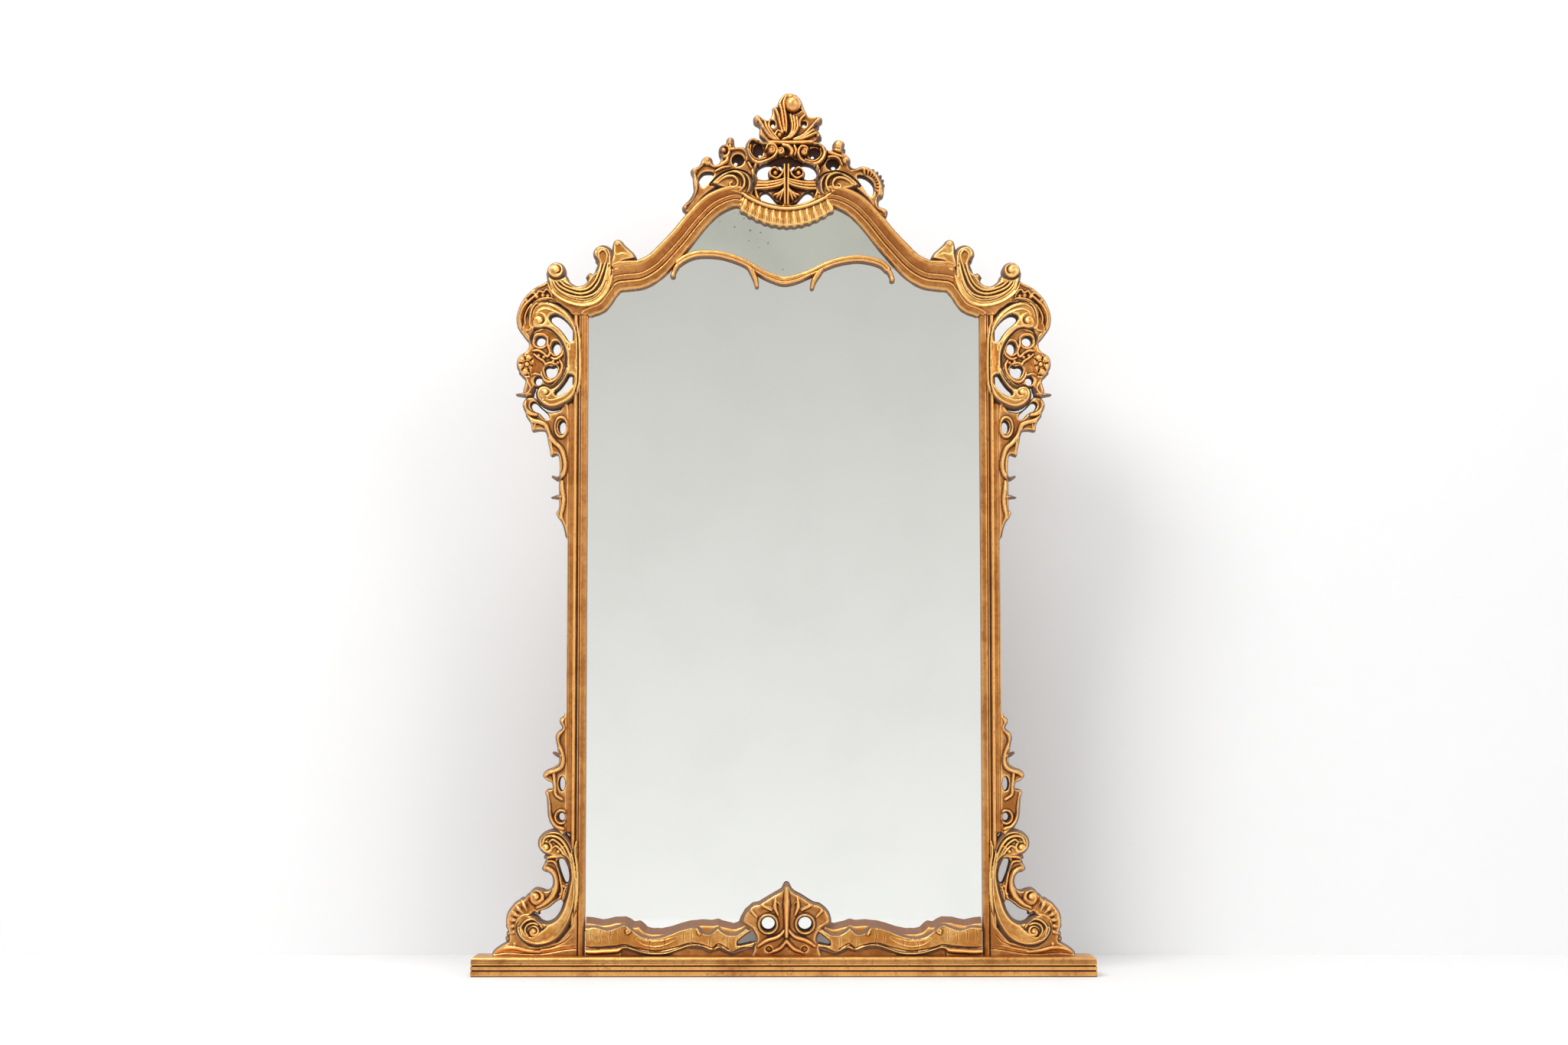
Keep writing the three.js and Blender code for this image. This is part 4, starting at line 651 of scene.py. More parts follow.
def outward(points, by):  # the closed outline moved outward
    rows = np.array(points, float)
    ahead = np.roll(rows, -1, 0) - np.roll(rows, 1, 0)
    ahead /= np.hypot(ahead[:, 0], ahead[:, 1])[:, None]
    return [(x - az * by, z + ax * by) for (x, z), (ax, az) in zip(rows, ahead)]


def straight(points, step=6.0):  # points close together, so that corners stay corners
    rows = []
    for (ax, az), (bx, bz) in zip(points, points[1:] + points[:1]):
        n = max(1, int(math.hypot(bx - ax, bz - az) / step))
        rows += [(ax + (bx - ax) * i / n, az + (bz - az) * i / n) for i in range(n)]
    return rows


opening = [*sightLine, *crown, *[(-x, z) for x, z in sightLine[::-1]]]
rebateOutline = [(x, max(z, 70)) for x, z in outward(opening, 9)]
windowLeft = [(-74, 52), (-71, 58), (-55, 70), (-50, 70), (-43, 58), (-70, 50)]
ribbonBack = -2.3


def even(width, height, *points, tip=0.8):  # a stroke of one width, its two ends slighter
    rows = [(x, z, width, height) for x, z in points]
    for end in (0, -1):
        rows[end] = (*points[end], width * tip, height * (1 + tip) / 2)
    return rows


def beside(points, by):  # the line moved to the right of the way it runs
    ways = np.gradient(np.array(points, float), axis=0)
    ways /= np.hypot(ways[:, 0], ways[:, 1])[:, None]
    return [(x + az * by, z - ax * by) for (x, z), (ax, az) in zip(points, ways)]


def pair(middle, rows):  # the rows and their likeness across an upright line
    return [rows, [(2 * middle - p[0], *p[1:]) for p in rows]]



# Carvings at the head of each side, drawn for the left

uBand = [(-381, 1125), (-376, 1110), (-364, 1098), (-346, 1089), (-326, 1085.5), (-308, 1090),
         (-294, 1103), (-286, 1120), (-282, 1140)]
earScroll = {
    "ground": -9.5,
    "grounds": [
        [(-387, 1138), (-386, 1125), (-380, 1105), (-365, 1092), (-345, 1083), (-325, 1079.5),
         (-312, 1081), (-300, 1087), (-288, 1101), (-281, 1118), (-278, 1136), (-278, 1156),
         (-281, 1172), (-290, 1180), (-302, 1181), (-310, 1173), (-311, 1164), (-305, 1157),
         (-303, 1150), (-306, 1140), (-312, 1135), (-316, 1137), (-321, 1133), (-320, 1126),
         (-323, 1120), (-330, 1116), (-337, 1115), (-343, 1118), (-349, 1123), (-354, 1132),
         (-364, 1128), (-376, 1128)],
        [(-284, 1146), (-281, 1166), (-280, 1180), (-277, 1189), (-271, 1192), (-264, 1189),
         (-258, 1181), (-250, 1174), (-243, 1167), (-241, 1158), (-262, 1152), (-272, 1140)],
    ],
    "channels": [even(11.4, 15.2, *uBand)],
    "rolls": [
        even(5, 15, (-377, 1124), (-369, 1110), (-353, 1099.5), (-330, 1094.5), (-310, 1099),
             (-297, 1112), (-290, 1131), (-286, 1150)),
        even(5, 15.25, (-372, 1122), (-363, 1112), (-348, 1104.5), (-330, 1100.5), (-314, 1105),
             (-303, 1117), (-296, 1134), (-291, 1150)),
        even(4.5, 15, (-365, 1122), (-356, 1114), (-344, 1109), (-330, 1106.5), (-318, 1110),
             (-308, 1120), (-301, 1135), (-297, 1150)),
        even(4, 13.5, (-357, 1121), (-350, 1116.5), (-341, 1113.5), (-331, 1112.5), (-322, 1116),
             (-314, 1124), (-308, 1135)),
        even(5, 13.5, (-319, 1126), (-315, 1133), (-309, 1131), (-305, 1141), (-302, 1151),
             (-306, 1156)),
        [(-283, 1150, 6, 14), (-281, 1164, 7, 15), (-286, 1176, 7, 15), (-297, 1180, 6, 14),
         (-307, 1173, 6, 13), (-308, 1163, 4, 12), (-303, 1157, 3, 11)],
        even(5, 14, (-290, 1152), (-288, 1165), (-294, 1173), (-301, 1168), (-301, 1161)),
        even(6, 13.5, (-276, 1186), (-266, 1184), (-256, 1176), (-247, 1168)),
        even(5.5, 11.5, (-277, 1174), (-272, 1165), (-261, 1167), (-248, 1162)),
    ],
    "eyes": [(-371, 1139, 15.6, 15)],
    "knobs": [(-319.5, 1129, 3.6, 13), (-271.5, 1184.5, 6, 15)],
    "cuts": [even(2, 2.5, *beside(uBand[:-1], -3.4), tip=1)],
}

cRim = [(-413, 1052), (-411, 1070), (-404, 1083), (-390, 1088), (-371, 1083), (-353, 1070.5),
        (-340.5, 1054.5), (-333.5, 1035), (-331.6, 1010), (-331.6, 960), (-334.5, 945.5),
        (-342.5, 931), (-353, 922), (-367, 915.5), (-380, 914.5), (-392, 920), (-400, 930),
        (-401.5, 941)]
cornerScroll = {
    "ground": -10,
    "grounds": [
        [(-414, 1050), (-414, 1062), (-412, 1074), (-404, 1086), (-390, 1091), (-370, 1086),
         (-351, 1073), (-338, 1056), (-331.5, 1036), (-329.5, 1010), (-329.5, 960),
         (-332.5, 944), (-341, 929), (-352, 920), (-367, 913.5), (-380, 912.5), (-393, 918.5),
         (-401, 929), (-403, 941), (-397, 950), (-387, 952), (-377, 948), (-366, 957),
         (-358, 970), (-355, 985), (-356, 1003), (-362, 1020), (-372, 1033), (-384, 1042),
         (-398, 1041), (-409, 1043)],
    ],
    "channels": [
        [(-405, 1064, 7, 12), (-400, 1075, 9, 13), (-387, 1080, 11, 13.5), (-370, 1075, 11, 14),
         (-356, 1065, 9, 14), (-345, 1049, 8, 14), (-341, 1032, 9, 14), (-344.5, 1012, 17, 14),
         (-346, 985, 18, 14), (-344.5, 964, 17, 14), (-342, 948, 10, 14), (-350, 933, 12, 14),
         (-362, 925, 13, 14), (-376, 921, 13, 14), (-388, 924, 10, 13.5)],
        [(-386, 1046, 6, 12), (-377, 1044, 8, 13), (-366, 1037, 9, 13.5), (-357, 1026, 9, 14),
         (-351, 1012, 10, 14)],
        [(-352, 978, 10, 14), (-358, 966, 8, 13.5), (-367, 955, 8, 13), (-377, 946, 6, 12)],
    ],
    "rolls": [
        even(4, 15, *cRim), even(3, 14.6, *beside(cRim[2:-2], 4.6)),
        even(3, 14, (-384, 1043), (-372, 1034.5), (-361.5, 1021), (-356, 1004), (-355, 985),
             (-358, 970), (-366.5, 957), (-377, 947), tip=1),
    ],
    "eyes": [(-397, 1056, 15, 15), (-387, 939, 12.5, 14.5)],
    "holes": [
        [(-380, 1062), (-376, 1066), (-368, 1066), (-356, 1058), (-346, 1045), (-341.5, 1032),
         (-342, 1026), (-346, 1023), (-351, 1026), (-356, 1034), (-365, 1045), (-376, 1054)],
        [(-341, 962), (-344, 967), (-349, 968), (-354, 960), (-362, 949), (-370, 941),
         (-371, 937), (-366, 935), (-357, 939), (-348, 947), (-342.5, 955)],
    ],
}

cornerVine = {
    "ground": -3.5,
    "grounds": [[
        (-412, 1012), (-410, 1030), (-406, 1041), (-394, 1046), (-380, 1044), (-369, 1034),
        (-359, 1020), (-353, 1003), (-353, 985), (-356, 968), (-365, 955), (-377, 946),
        (-390, 951), (-402, 948), (-412, 956), (-410, 975), (-406, 990), (-408, 1003),
    ]],
    "rolls": [
        even(5, 10, (-408, 1008), (-399, 1008), (-391, 1004), (-384, 998), (-380, 1006),
             (-384, 1018), (-384, 1030)),
        even(5, 11, (-378, 996), (-371, 994), (-362, 999), (-358, 1008)),
        even(5, 10, (-406, 1002), (-399, 996), (-391, 991), (-386, 984)),
        even(6, 11, (-394, 972), (-391, 963), (-382, 956.5), (-371, 961), (-363, 971),
             (-360, 983), (-364, 992), tip=0.65),
        even(5, 10, (-388, 985), (-380, 988), (-371, 985), (-366, 977)),
        even(5, 10, (-410, 968), (-404, 970), (-396, 968)),
        even(5, 9, (-412, 1034), (-405, 1040), (-396, 1041)),
    ],
    "rings": [(-396, 1024, 12, 12, 4, 7), (-371, 1013, 9, 13, 4, 8)],
    "knobs": even(3, 11, (-398, 1000), (-390, 997), (-375, 990), (-367, 988), (-386, 980), tip=1),
    "holes": [
        oval(-396, 1024, 7.5, 7.5), oval(-370, 1012, 6.5, 9.5),
        [(-388, 978), (-383, 982), (-376, 981), (-371, 983), (-368, 977), (-371, 968),
         (-378, 964), (-385, 967)],
        oval(-399, 959, 6, 6.5, 8),
    ],
}


def petals(x, z, reach, radius, height, count, start):
    return [(x + reach * math.cos(start + 2 * math.pi * i / count),
             z + reach * math.sin(start + 2 * math.pi * i / count), radius, height)
            for i in range(count)]


cornerLeaf = {
    "ground": -6,
    "grounds": [[
        (-383, 1129), (-388, 1122), (-400, 1116), (-412, 1108), (-422, 1098), (-430, 1085),
        (-435, 1070), (-436, 1058), (-433, 1045), (-427, 1036), (-421, 1028), (-416, 1022),
        (-416, 1013), (-421, 1007), (-432, 999), (-435, 985), (-429, 970), (-421, 960),
        (-422, 951), (-424, 944), (-420, 932), (-412, 934), (-404, 949), (-408, 960),
        (-403, 976), (-398, 991), (-400, 1004), (-408, 1014), (-410, 1031), (-404, 1042),
        (-395, 1060), (-396, 1084), (-380, 1088), (-366, 1094), (-372, 1106), (-379, 1118),
    ]],
    "rolls": [
        [(-420, 1040, 4, 9), (-412, 1043, 5, 11), (-411, 1055, 4, 12), (-413, 1068, 4, 13),
         (-408, 1082, 4, 13), (-397, 1091, 5, 14), (-382, 1093, 5, 14), (-372, 1090, 4, 13)],
        [(-425, 1044, 4, 9), (-429, 1056, 4, 10), (-428, 1068, 4, 11), (-422, 1081, 5, 12),
         (-413, 1090, 5, 12), (-404, 1098, 5, 13)],
        even(4, 11.5, (-420, 1052), (-421, 1062), (-417, 1074), (-410, 1084)),
        even(4, 12.5, (-417, 1096), (-409, 1102), (-402, 1100), (-398, 1105), (-391, 1103),
             (-386, 1108), (-379, 1102), (-377, 1096)),
        even(4, 11, (-406, 1110), (-396, 1113), (-387, 1117), (-381, 1124), tip=1),
        even(4, 10, (-411, 1022), (-414, 1030), (-419, 1036), tip=1),
        even(5, 11, (-422, 965), (-416, 957), (-411, 948), (-414, 940), (-421, 935)),
        even(4, 10, (-408, 962), (-406, 952), (-408, 942), (-412, 935)),
        even(4, 9.5, (-430, 972), (-423, 966), (-414, 965), (-408, 970)),
    ],
    "veins": [[(-411, 937, 8, 9), (-423, 937, 7, 8), (-435, 937, 2.5, 5)]],
    "knobs": [
        (-402, 1096, 4, 14), (-392, 1098, 4, 14), (-384, 1097, 3.6, 14), (-419, 1090, 3, 12),
        *petals(-417, 985, 11, 6.8, 12.5, 6, 0.3), *petals(-417, 985, 14.5, 3.2, 11, 6, 0.8),
        (-417, 985, 5.5, 15), (-405, 999, 3, 11), (-403, 976, 3, 11),
    ],
    "rings": [(-417, 985, 6.4, 6.4, 2, 14.6)],
    "cuts": [
        *[[(-417 + 5 * math.cos(a), 985 + 5 * math.sin(a), 2.4, 4),
           (-417 + 18 * math.cos(a), 985 + 18 * math.sin(a), 2.4, 4)]
          for a in [0.3 + math.pi * (2 * i + 1) / 6 for i in range(6)]],
        even(3, 4, (-426, 1042), (-424.5, 1054), (-423, 1066), (-417, 1079), (-409, 1089)),
    ],
}

leafDrop = {
    "grounds": [[
        (-420, 930), (-425, 920), (-421, 909), (-418, 900), (-411, 888), (-409, 877),
        (-399, 878), (-389, 877), (-385, 870), (-383, 858), (-380, 845), (-378, 836),
        (-367, 838), (-364, 820), (-365, 790), (-365, 752), (-369, 745), (-366, 736),
        (-360, 728), (-355, 716), (-351, 702), (-348, 702), (-348, 912), (-366, 910),
        (-380, 908), (-392, 915), (-403, 930), (-411, 933),
    ]],
    "rolls": [
        even(7.5, 11, (-419, 926), (-419, 913), (-410, 905), (-401, 903)),
        [
            (-417, 902, 5, 7), (-407, 894, 8, 10), (-395, 891, 8, 12), (-386, 886, 8, 12),
            (-380, 870, 8, 11), (-371, 858, 8, 12), (-361, 848, 8, 13), (-355, 832, 7, 13),
            (-354, 817, 7, 13), (-358, 805, 8, 12), (-367, 800, 7, 11), (-375, 803, 4, 8),
        ],
        [
            (-359, 794, 6, 9), (-358, 780, 7, 11), (-356, 765, 7, 11), (-358, 750, 7, 10),
            (-360, 738, 6, 9), (-355, 722, 5, 8), (-352.5, 705, 2.5, 5),
        ],
    ],
    "veins": [
        [(-360, 770, 8, 9), (-369, 770, 6, 8), (-377, 769, 2, 5)],
        [(-402, 894, 10, 8), (-405, 881, 6, 5)],
        [(-378, 862, 7, 8), (-375, 841, 6, 5)],
    ],
    "rings": [(-361, 883, 10, 16, 5, 11)],
    "holes": [
        [
            (-411, 920), (-405, 924), (-395, 915), (-384, 905), (-382, 898), (-388, 897),
            (-397, 906), (-407, 911),
        ],
        oval(-359.5, 883, 5.5, 10, 10),
    ],
}

# Carvings at the foot of each side, drawn for the left

stileSpray = {
    "grounds": [[
        (-348, 416), (-355, 415), (-361, 411), (-361, 405), (-357, 397), (-361, 393),
        (-366, 388), (-368, 380), (-366, 370), (-364, 358), (-362, 341), (-370, 334),
        (-380, 330), (-386, 325), (-387, 318), (-380, 311), (-374, 309), (-372, 300),
        (-380, 298), (-384, 292), (-381, 284), (-380, 270), (-379, 255), (-376, 245),
        (-370, 236), (-364, 231), (-348, 231),
    ]],
    "rolls": [
        [
            (-379, 292, 5, 8), (-377, 272, 7, 11), (-375, 254, 7, 12), (-366, 240, 7, 13),
            (-354, 235, 7, 13),
        ],
        [
            (-354, 412, 5, 7), (-357, 404, 6, 10), (-354, 395, 5, 10), (-362, 384, 6, 12),
            (-363, 373, 6, 12), (-357, 360, 6, 12), (-354, 346, 6, 12), (-357, 334, 7, 13),
            (-366, 328, 7, 13), (-376, 325, 7, 12), (-383, 320, 6, 9),
        ],
        even(6, 10, (-355, 352), (-363, 352), (-370, 356)),
        even(5.5, 12, (-369, 322), (-367, 305), (-366, 290), (-356, 282), tip=1),
    ],
    "rings": [(-357, 254, 9.5, 10.5, 4, 11)],
    "holes": [oval(-356.5, 307, 4.5, 11, 10), oval(-357, 254, 5, 6, 10)],
}

stemSlot = [(-362, 184), (-357, 187), (-352, 184), (-347, 173), (-344.5, 160), (-346, 151),
            (-350, 149), (-354, 156), (-359, 170)]
crescent = [(-391, 103), (-378, 108), (-365, 118), (-357, 121), (-354, 112), (-359, 101),
            (-368, 93), (-380, 89), (-389, 94)]
footRim = [(-332, 215), (-334.5, 200), (-331.5, 180), (-330, 150), (-331.5, 121),
           (-336, 100.5), (-344.5, 81), (-358, 62.5), (-375, 51.5), (-395, 48.5),
           (-412, 53.5), (-423.5, 63.5), (-428, 76), (-426, 89)]
lowerScroll = {
    "ground": -10,
    "grounds": [[
        (-376, 234), (-386, 229), (-393, 221), (-395, 211), (-392, 202), (-385, 195),
        (-376, 191), (-364, 189), (-352, 188), (-345, 178), (-343, 160), (-345, 148),
        (-348, 134), (-352, 120), (-355, 110), (-360, 99), (-369, 91), (-380, 87),
        (-389, 90), (-396, 97), (-408, 100), (-419, 98), (-428, 90), (-430, 75),
        (-425, 62), (-413, 51.5), (-395, 46.5), (-374, 49.5), (-356, 61), (-343, 80),
        (-335, 100), (-330, 120), (-328, 150), (-329, 180), (-334, 201), (-342, 217),
        (-354, 231), (-366, 235),
    ]],
    "channels": [[
        (-352, 203, 10, 17), (-343, 188, 12, 17.5), (-338.5, 168, 11, 17.5),
        (-338, 146, 12, 17.5), (-341, 122, 18, 17.5), (-347, 103, 20, 17),
        (-356, 86, 24, 16.5), (-370, 71, 26, 16.5), (-388, 60, 18, 17), (-403, 57, 12, 16.5),
        (-416, 64, 9, 16), (-422, 76, 8, 15),
    ]],
    "rolls": [
        even(4, 18, *footRim), even(3, 18, *beside(footRim[1:-3], 5)),
        [(-392, 208, 5, 12), (-390, 219, 6, 14), (-381, 228, 6, 16), (-368, 230, 6, 17),
         (-355, 226, 6, 18), (-345, 215, 5, 18), (-338, 200, 4, 18)],
        [(-386, 212, 5, 14), (-382, 221, 5, 15.5), (-371, 224, 6, 17), (-359, 220, 6, 18),
         (-350, 210, 6, 18.5), (-343, 196, 4, 18), (-340, 182, 3, 17.5)],
        even(5, 17.5, (-376, 214), (-370, 218), (-362, 214), (-355, 207), (-348, 195)),
        [(-372, 203, 4, 13), (-365, 208, 5, 15), (-358, 203, 5, 17), (-351, 193, 5, 17.5),
         (-346, 180, 4, 17.5), (-344, 162, 3, 17.5), (-346, 142, 3, 17), (-351, 122, 3, 17),
         (-357.5, 103, 3, 17), (-368, 89.5, 3, 17), (-380, 83, 3, 16.5)],
        even(5, 16, (-386, 78), (-391, 87), (-401, 92), (-412, 89), (-420, 79), (-418, 66)),
        [(-393, 83, 4, 14), (-401, 85.5, 4, 16), (-410, 82, 4, 17), (-413, 73, 4, 17),
         (-408, 64, 4, 17)],
    ],
    "eyes": [(-380, 205, 11, 16), (-399, 72, 9.5, 18.5)],
    "knobs": [(-361, 199, 4, 17)],
    "holes": [stemSlot],
}

scrollStem = {
    "ground": -5,
    "grounds": [[
        (-384, 193), (-382, 184), (-386, 177), (-388, 171), (-383, 166), (-376, 164),
        (-371, 156), (-371, 146), (-375, 139), (-381, 137), (-389, 140), (-399, 141),
        (-406, 135), (-409, 127), (-408, 116), (-402, 104), (-392, 98), (-378, 102),
        (-365, 112), (-355, 116), (-346, 124), (-342, 150), (-344, 190), (-366, 196),
    ]],
    "rolls": [
        [(-386, 171, 4, 9), (-379, 173, 7, 12), (-370, 167, 9, 14), (-365, 155, 9, 15),
         (-365, 141, 10, 15), (-371, 127, 10, 15), (-383, 116, 9, 14), (-395, 110, 6, 12)],
        even(5, 12, (-382, 182), (-373, 184), (-365, 180), (-359, 166), (-357, 152), (-355, 138),
             (-358, 126), (-366, 118)),
        even(5, 14, (-383, 189), (-374, 190), (-364, 191), tip=1),
        even(5, 13, (-349, 142), (-352, 132), (-353, 122)),
    ],
    "eyes": [(-396, 126, 13, 14.5)],
    "knobs": [(-352, 144, 3, 13), (-357, 131, 3, 14)],
    "holes": [stemSlot, crescent],
}


def lobes(x, z, inner, ends):
    strokes = []
    for endX, endZ in ends:
        length = math.hypot(endX - x, endZ - z)
        startX, startZ = x + (endX - x) * inner / length, z + (endZ - z) * inner / length
        strokes.append([(startX, startZ, 6, 11), ((startX + endX) / 2, (startZ + endZ) / 2, 9, 14),
                        (endX, endZ, 9, 9)])
    return strokes


footShell = {
    "ground": -8.5,
    "grounds": [
        [(-409, 132), (-416, 125), (-428, 120), (-435, 113), (-441, 105), (-444.5, 96),
         (-445, 84), (-443, 75), (-441, 68), (-441, 60), (-436, 40), (-350, 40), (-322, 60),
         (-326, 110), (-345, 78), (-372, 50), (-395, 46), (-415, 60), (-424, 80), (-402, 98),
         (-395, 110), (-402, 122)],
        straight([(-441, 57), (-455, 49), (-463, 43), (-468, 34), (-468, 20), (-318, 20),
                  (-318, 70), (-345, 62), (-395, 50)], 8),
    ],
    "rolls": [
        *lobes(-400, 84, 25, [(-408, 127), (-419, 121), (-429, 113), (-436, 103), (-440, 92),
                              (-441, 80), (-440, 68)]),
        [(-466, 37, 4, 8), (-456, 42, 7, 10), (-443, 46, 9, 12), (-428, 46, 9, 13),
         (-410, 42, 8, 13), (-390, 40, 7, 12)],
        even(6, 10.5, (-330, 52), (-352, 49), (-374, 44), (-396, 41)),
    ],
    "knobs": [(-441, 60, 5, 11), (-430, 52, 4, 12)],
    "cuts": [
        even(2, 2, (-462, 36.5), (-440, 39), (-410, 37), (-380, 38), (-350, 43), (-325, 45), tip=1),
        even(2, 2, (-398, 43), (-375, 47), (-352, 55), (-340, 66), tip=1),
    ],
    "holes": [crescent],
    "limits": [("z", foot, 200), ("x", -466, -331)],
}

# Foot of the frame: ribbon and palmette in front of the bottom rail

bottomRibbon = {
    "back": ribbonBack, "ground": -6,
    "grounds": [[
        (-345, 20), (-345, 79), (-318, 79), (-300, 80.5), (-283, 76), (-270, 79), (-258, 84),
        (-248, 82), (-236, 72), (-225, 65), (-210, 62.5), (-195, 65), (-180, 70),
        (-165, 76), (-150, 79.5), (-138, 79.5), (-130, 72), (-120, 69), (-112, 74),
        (-105, 79), (-98, 73), (-88, 68), (-78, 68), (-68, 73), (-60, 78), (-46, 70),
        (-46, 46), (-66, 44), (-85, 36), (-100, 42), (-112, 38), (-133, 45), (-150, 45),
        (-170, 38), (-190, 32), (-215, 32), (-240, 38), (-255, 41), (-270, 20),
    ]],
    "rolls": [
        [(-330, 79, 4, 9), (-315, 78.5, 5, 10), (-300, 79, 5, 11), (-283, 74.5, 5, 11),
         (-270, 77.5, 5, 11), (-257, 82, 5, 12), (-249, 79, 5, 13), (-246, 72, 5, 13),
         (-251, 68, 4, 12)],
        even(5, 12, (-244, 76), (-234, 69), (-224, 63.5), (-210, 61), (-195, 63.5), (-180, 68.5),
             (-165, 74.5), (-150, 78), (-138, 78), (-131, 72), (-135, 66)),
        even(5, 12, (-128, 68), (-119, 66.5), (-111, 73), (-105, 77.5), (-98, 72), (-88, 66.5),
             (-77, 66.5), (-68, 72), (-60, 78)),
        [(-330, 42, 7, 13), (-308, 40, 8, 15), (-286, 41, 8, 17), (-268, 42, 8, 18),
         (-254, 44.5, 7, 19), (-240, 41, 7, 19), (-222, 36, 7, 19), (-204, 35, 7, 19),
         (-186, 36, 7, 19), (-170, 41, 7, 19), (-152, 46.5, 8, 19), (-136, 47, 8, 19),
         (-124, 42, 7, 19), (-114, 40, 6, 19), (-105, 46, 6, 19), (-97, 42, 7, 19),
         (-83, 37.5, 7, 19), (-66, 42, 7, 19), (-50, 46, 6, 18)],
    ],
    "scoops": [
        [(-234, 60, 6, 8), (-222, 54, 10, 9), (-205, 52, 12, 9), (-188, 55, 10, 9),
         (-172, 62, 6, 8)],
    ],
    "cuts": [
        *[[(x, z, 1.6, 1.3), (x - 1, z - 9, 1.6, 1.5), (x + 0.5, z - 17, 1.4, 0.8)]
          for x, z in ((-308, 74), (-293, 73), (-277, 71), (-263, 74), (-214, 57), (-190, 60),
                       (-160, 70), (-147, 72), (-118, 62), (-90, 62), (-74, 62))],
        even(2, 2.5, (-330, 48), (-300, 46.5), (-270, 48.5), (-254, 50.5), (-238, 46), (-204, 41),
             (-172, 47), (-150, 53), (-130, 51), (-114, 46), (-104, 52), (-88, 44), tip=1),
    ],
    "eyes": [(-250, 73, 5, 13), (-135, 71, 5, 13)],
    "holes": [windowLeft],
    "limits": [("z", foot, 200), ("x", -317, 0)],
}

bottomPalmette = {
    "back": ribbonBack, "ground": -9,
    "grounds": [[
        (-46, 20), (-50, 46), (-45, 60), (-52, 74), (-66, 84), (-66, 96), (-60, 106),
        (-49, 115), (-38, 118), (-20, 129), (-6, 137), (0, 147), (4.5, 150), (9, 147),
        (15, 137), (29, 129), (47, 118), (58, 115), (69, 106), (75, 96), (75, 84), (61, 74),
        (54, 60), (59, 46), (55, 20),
    ]],
    "rolls": [
        *pair(4.5, [(-9, 98, 6, 13), (-14, 112, 9, 16), (-13, 126, 6, 12)]),
        *pair(4.5, [(-20, 106, 6, 13), (-33, 113, 8, 15)]),
        *pair(4.5, [(-43, 95, 6, 13), (-53, 106, 8, 14)]),
        [(4.5, 64, 8, 18), (4.5, 92, 9, 20), (4.7, 118, 12, 20), (4.5, 139, 8, 16)],
        *pair(4.5, even(8.5, 17, (-41, 49), (-27, 58), (-9, 64), (3, 76))),
        *pair(4.5, [(-22, 39, 7, 14), (-7, 45, 8, 17), (4.4, 57, 8, 18)]),
    ],
    "veins": [
        *pair(4.5, even(5, 13, (-8, 102), (-25, 112), (-42, 114))),
        *pair(4.5, [(-4, 112, 5, 13), (-13, 122, 6, 14), (-20, 127, 3, 10)]),
        *pair(4.5, [(-42, 76, 5, 11), (-56, 84, 6, 13), (-64, 92, 3, 9)]),
    ],
    "knobs": [(4.2, 145, 4.5, 16.5)],
    "rings": [(-25, 84, 14.6, 14.6, 5, 18), (34, 84, 14.6, 14.6, 5, 18)],
    "holes": [
        *pair(4.5, oval(-25, 84, 10.6, 10.6)), *pair(4.5, oval(-24, 44, 3.2, 2.6, 8)),
    ],
    "limits": [("z", foot, 200)],
}

# Crest, which isn't symmetrical

def hanging(x, low, bend=0.0048):  # the height of a hanging line at x, from its lowest point
    return low + bend * (x - 5)**2


swagLow = [(x, hanging(x, 1213)) for x in range(-70, 81, 10)]
crestSwag = {
    "back": frameBack, "ground": -5, "sideFrom": 0,
    "grounds": [[
        *swagLow, (80, 1250), (62, 1266), (46, 1258), (28, 1251), (5, 1248), (-20, 1251),
        (-42, 1258), (-60, 1268), (-72, 1254),
    ]],
    "rolls": [
        *[[(x, hanging(x, 1217), 11, 7), (x * 0.95 + 0.2, hanging(x, 1225, 0.0047), 10, 8.5),
           (x * 0.9 + 0.5, hanging(x, 1238, 0.0045), 6, 7)] for x in range(-67, 78, 12)],
        [(x, hanging(x, 1241.5, 0.0047), 7, 12) for x in range(-67, 78, 9)],
    ],
    "cuts": [[(x, hanging(x, 1213), 1.6, 1),
              (x * 0.95 + 0.2, hanging(x, 1222 + k % 3 * 3, 0.0047), 1.2, 1.4)]
             for k, x in enumerate(range(-61, 78, 4))],
}


def volute(place):  # three nested curls open to the side, from the left one of the drawing
    def at(*points):
        return [(*place(p[0], p[1]), *p[2:]) for p in points]

    return {
        "ground": -9,
        "grounds": [at(
            (-120, 1283), (-110, 1294), (-97, 1303), (-82, 1308), (-66, 1305), (-54, 1297),
            (-49, 1284), (-51, 1270), (-58, 1261), (-66, 1263), (-75, 1268), (-90, 1272),
            (-105, 1276))],
        "rolls": [
            at((-76, 1305, 4, 17), (-62, 1300, 7, 20), (-54, 1287, 9, 21), (-55, 1273, 8, 20),
               (-62, 1264, 5, 17)),
            at((-119, 1282, 6, 13), (-107, 1294, 6, 15), (-94, 1302, 5, 18), (-80, 1302, 5, 19),
               (-69, 1296, 5, 20), (-64, 1286, 5, 19), (-66, 1276, 5, 18), (-73, 1270, 4, 16)),
            at((-112, 1280, 5, 12), (-102, 1289, 5, 15), (-91, 1294, 5, 17), (-81, 1293, 5, 18),
               (-75, 1286, 5, 18), (-77, 1278, 5, 16), (-85, 1276, 5, 15), (-88, 1282, 4, 14),
               (-83, 1285, 3, 14)),
        ],
        "cuts": [at((-108, 1285, 2, 2), (-96, 1296, 2, 2), (-82, 1299, 2, 2), (-71, 1292, 2, 2),
                    (-69, 1280, 2, 2), (-74, 1269, 2, 2))],
    }


volutes = {"left": volute(lambda x, z: (x, z)), "right": volute(lambda x, z: (5 - x, z - 2.5))}

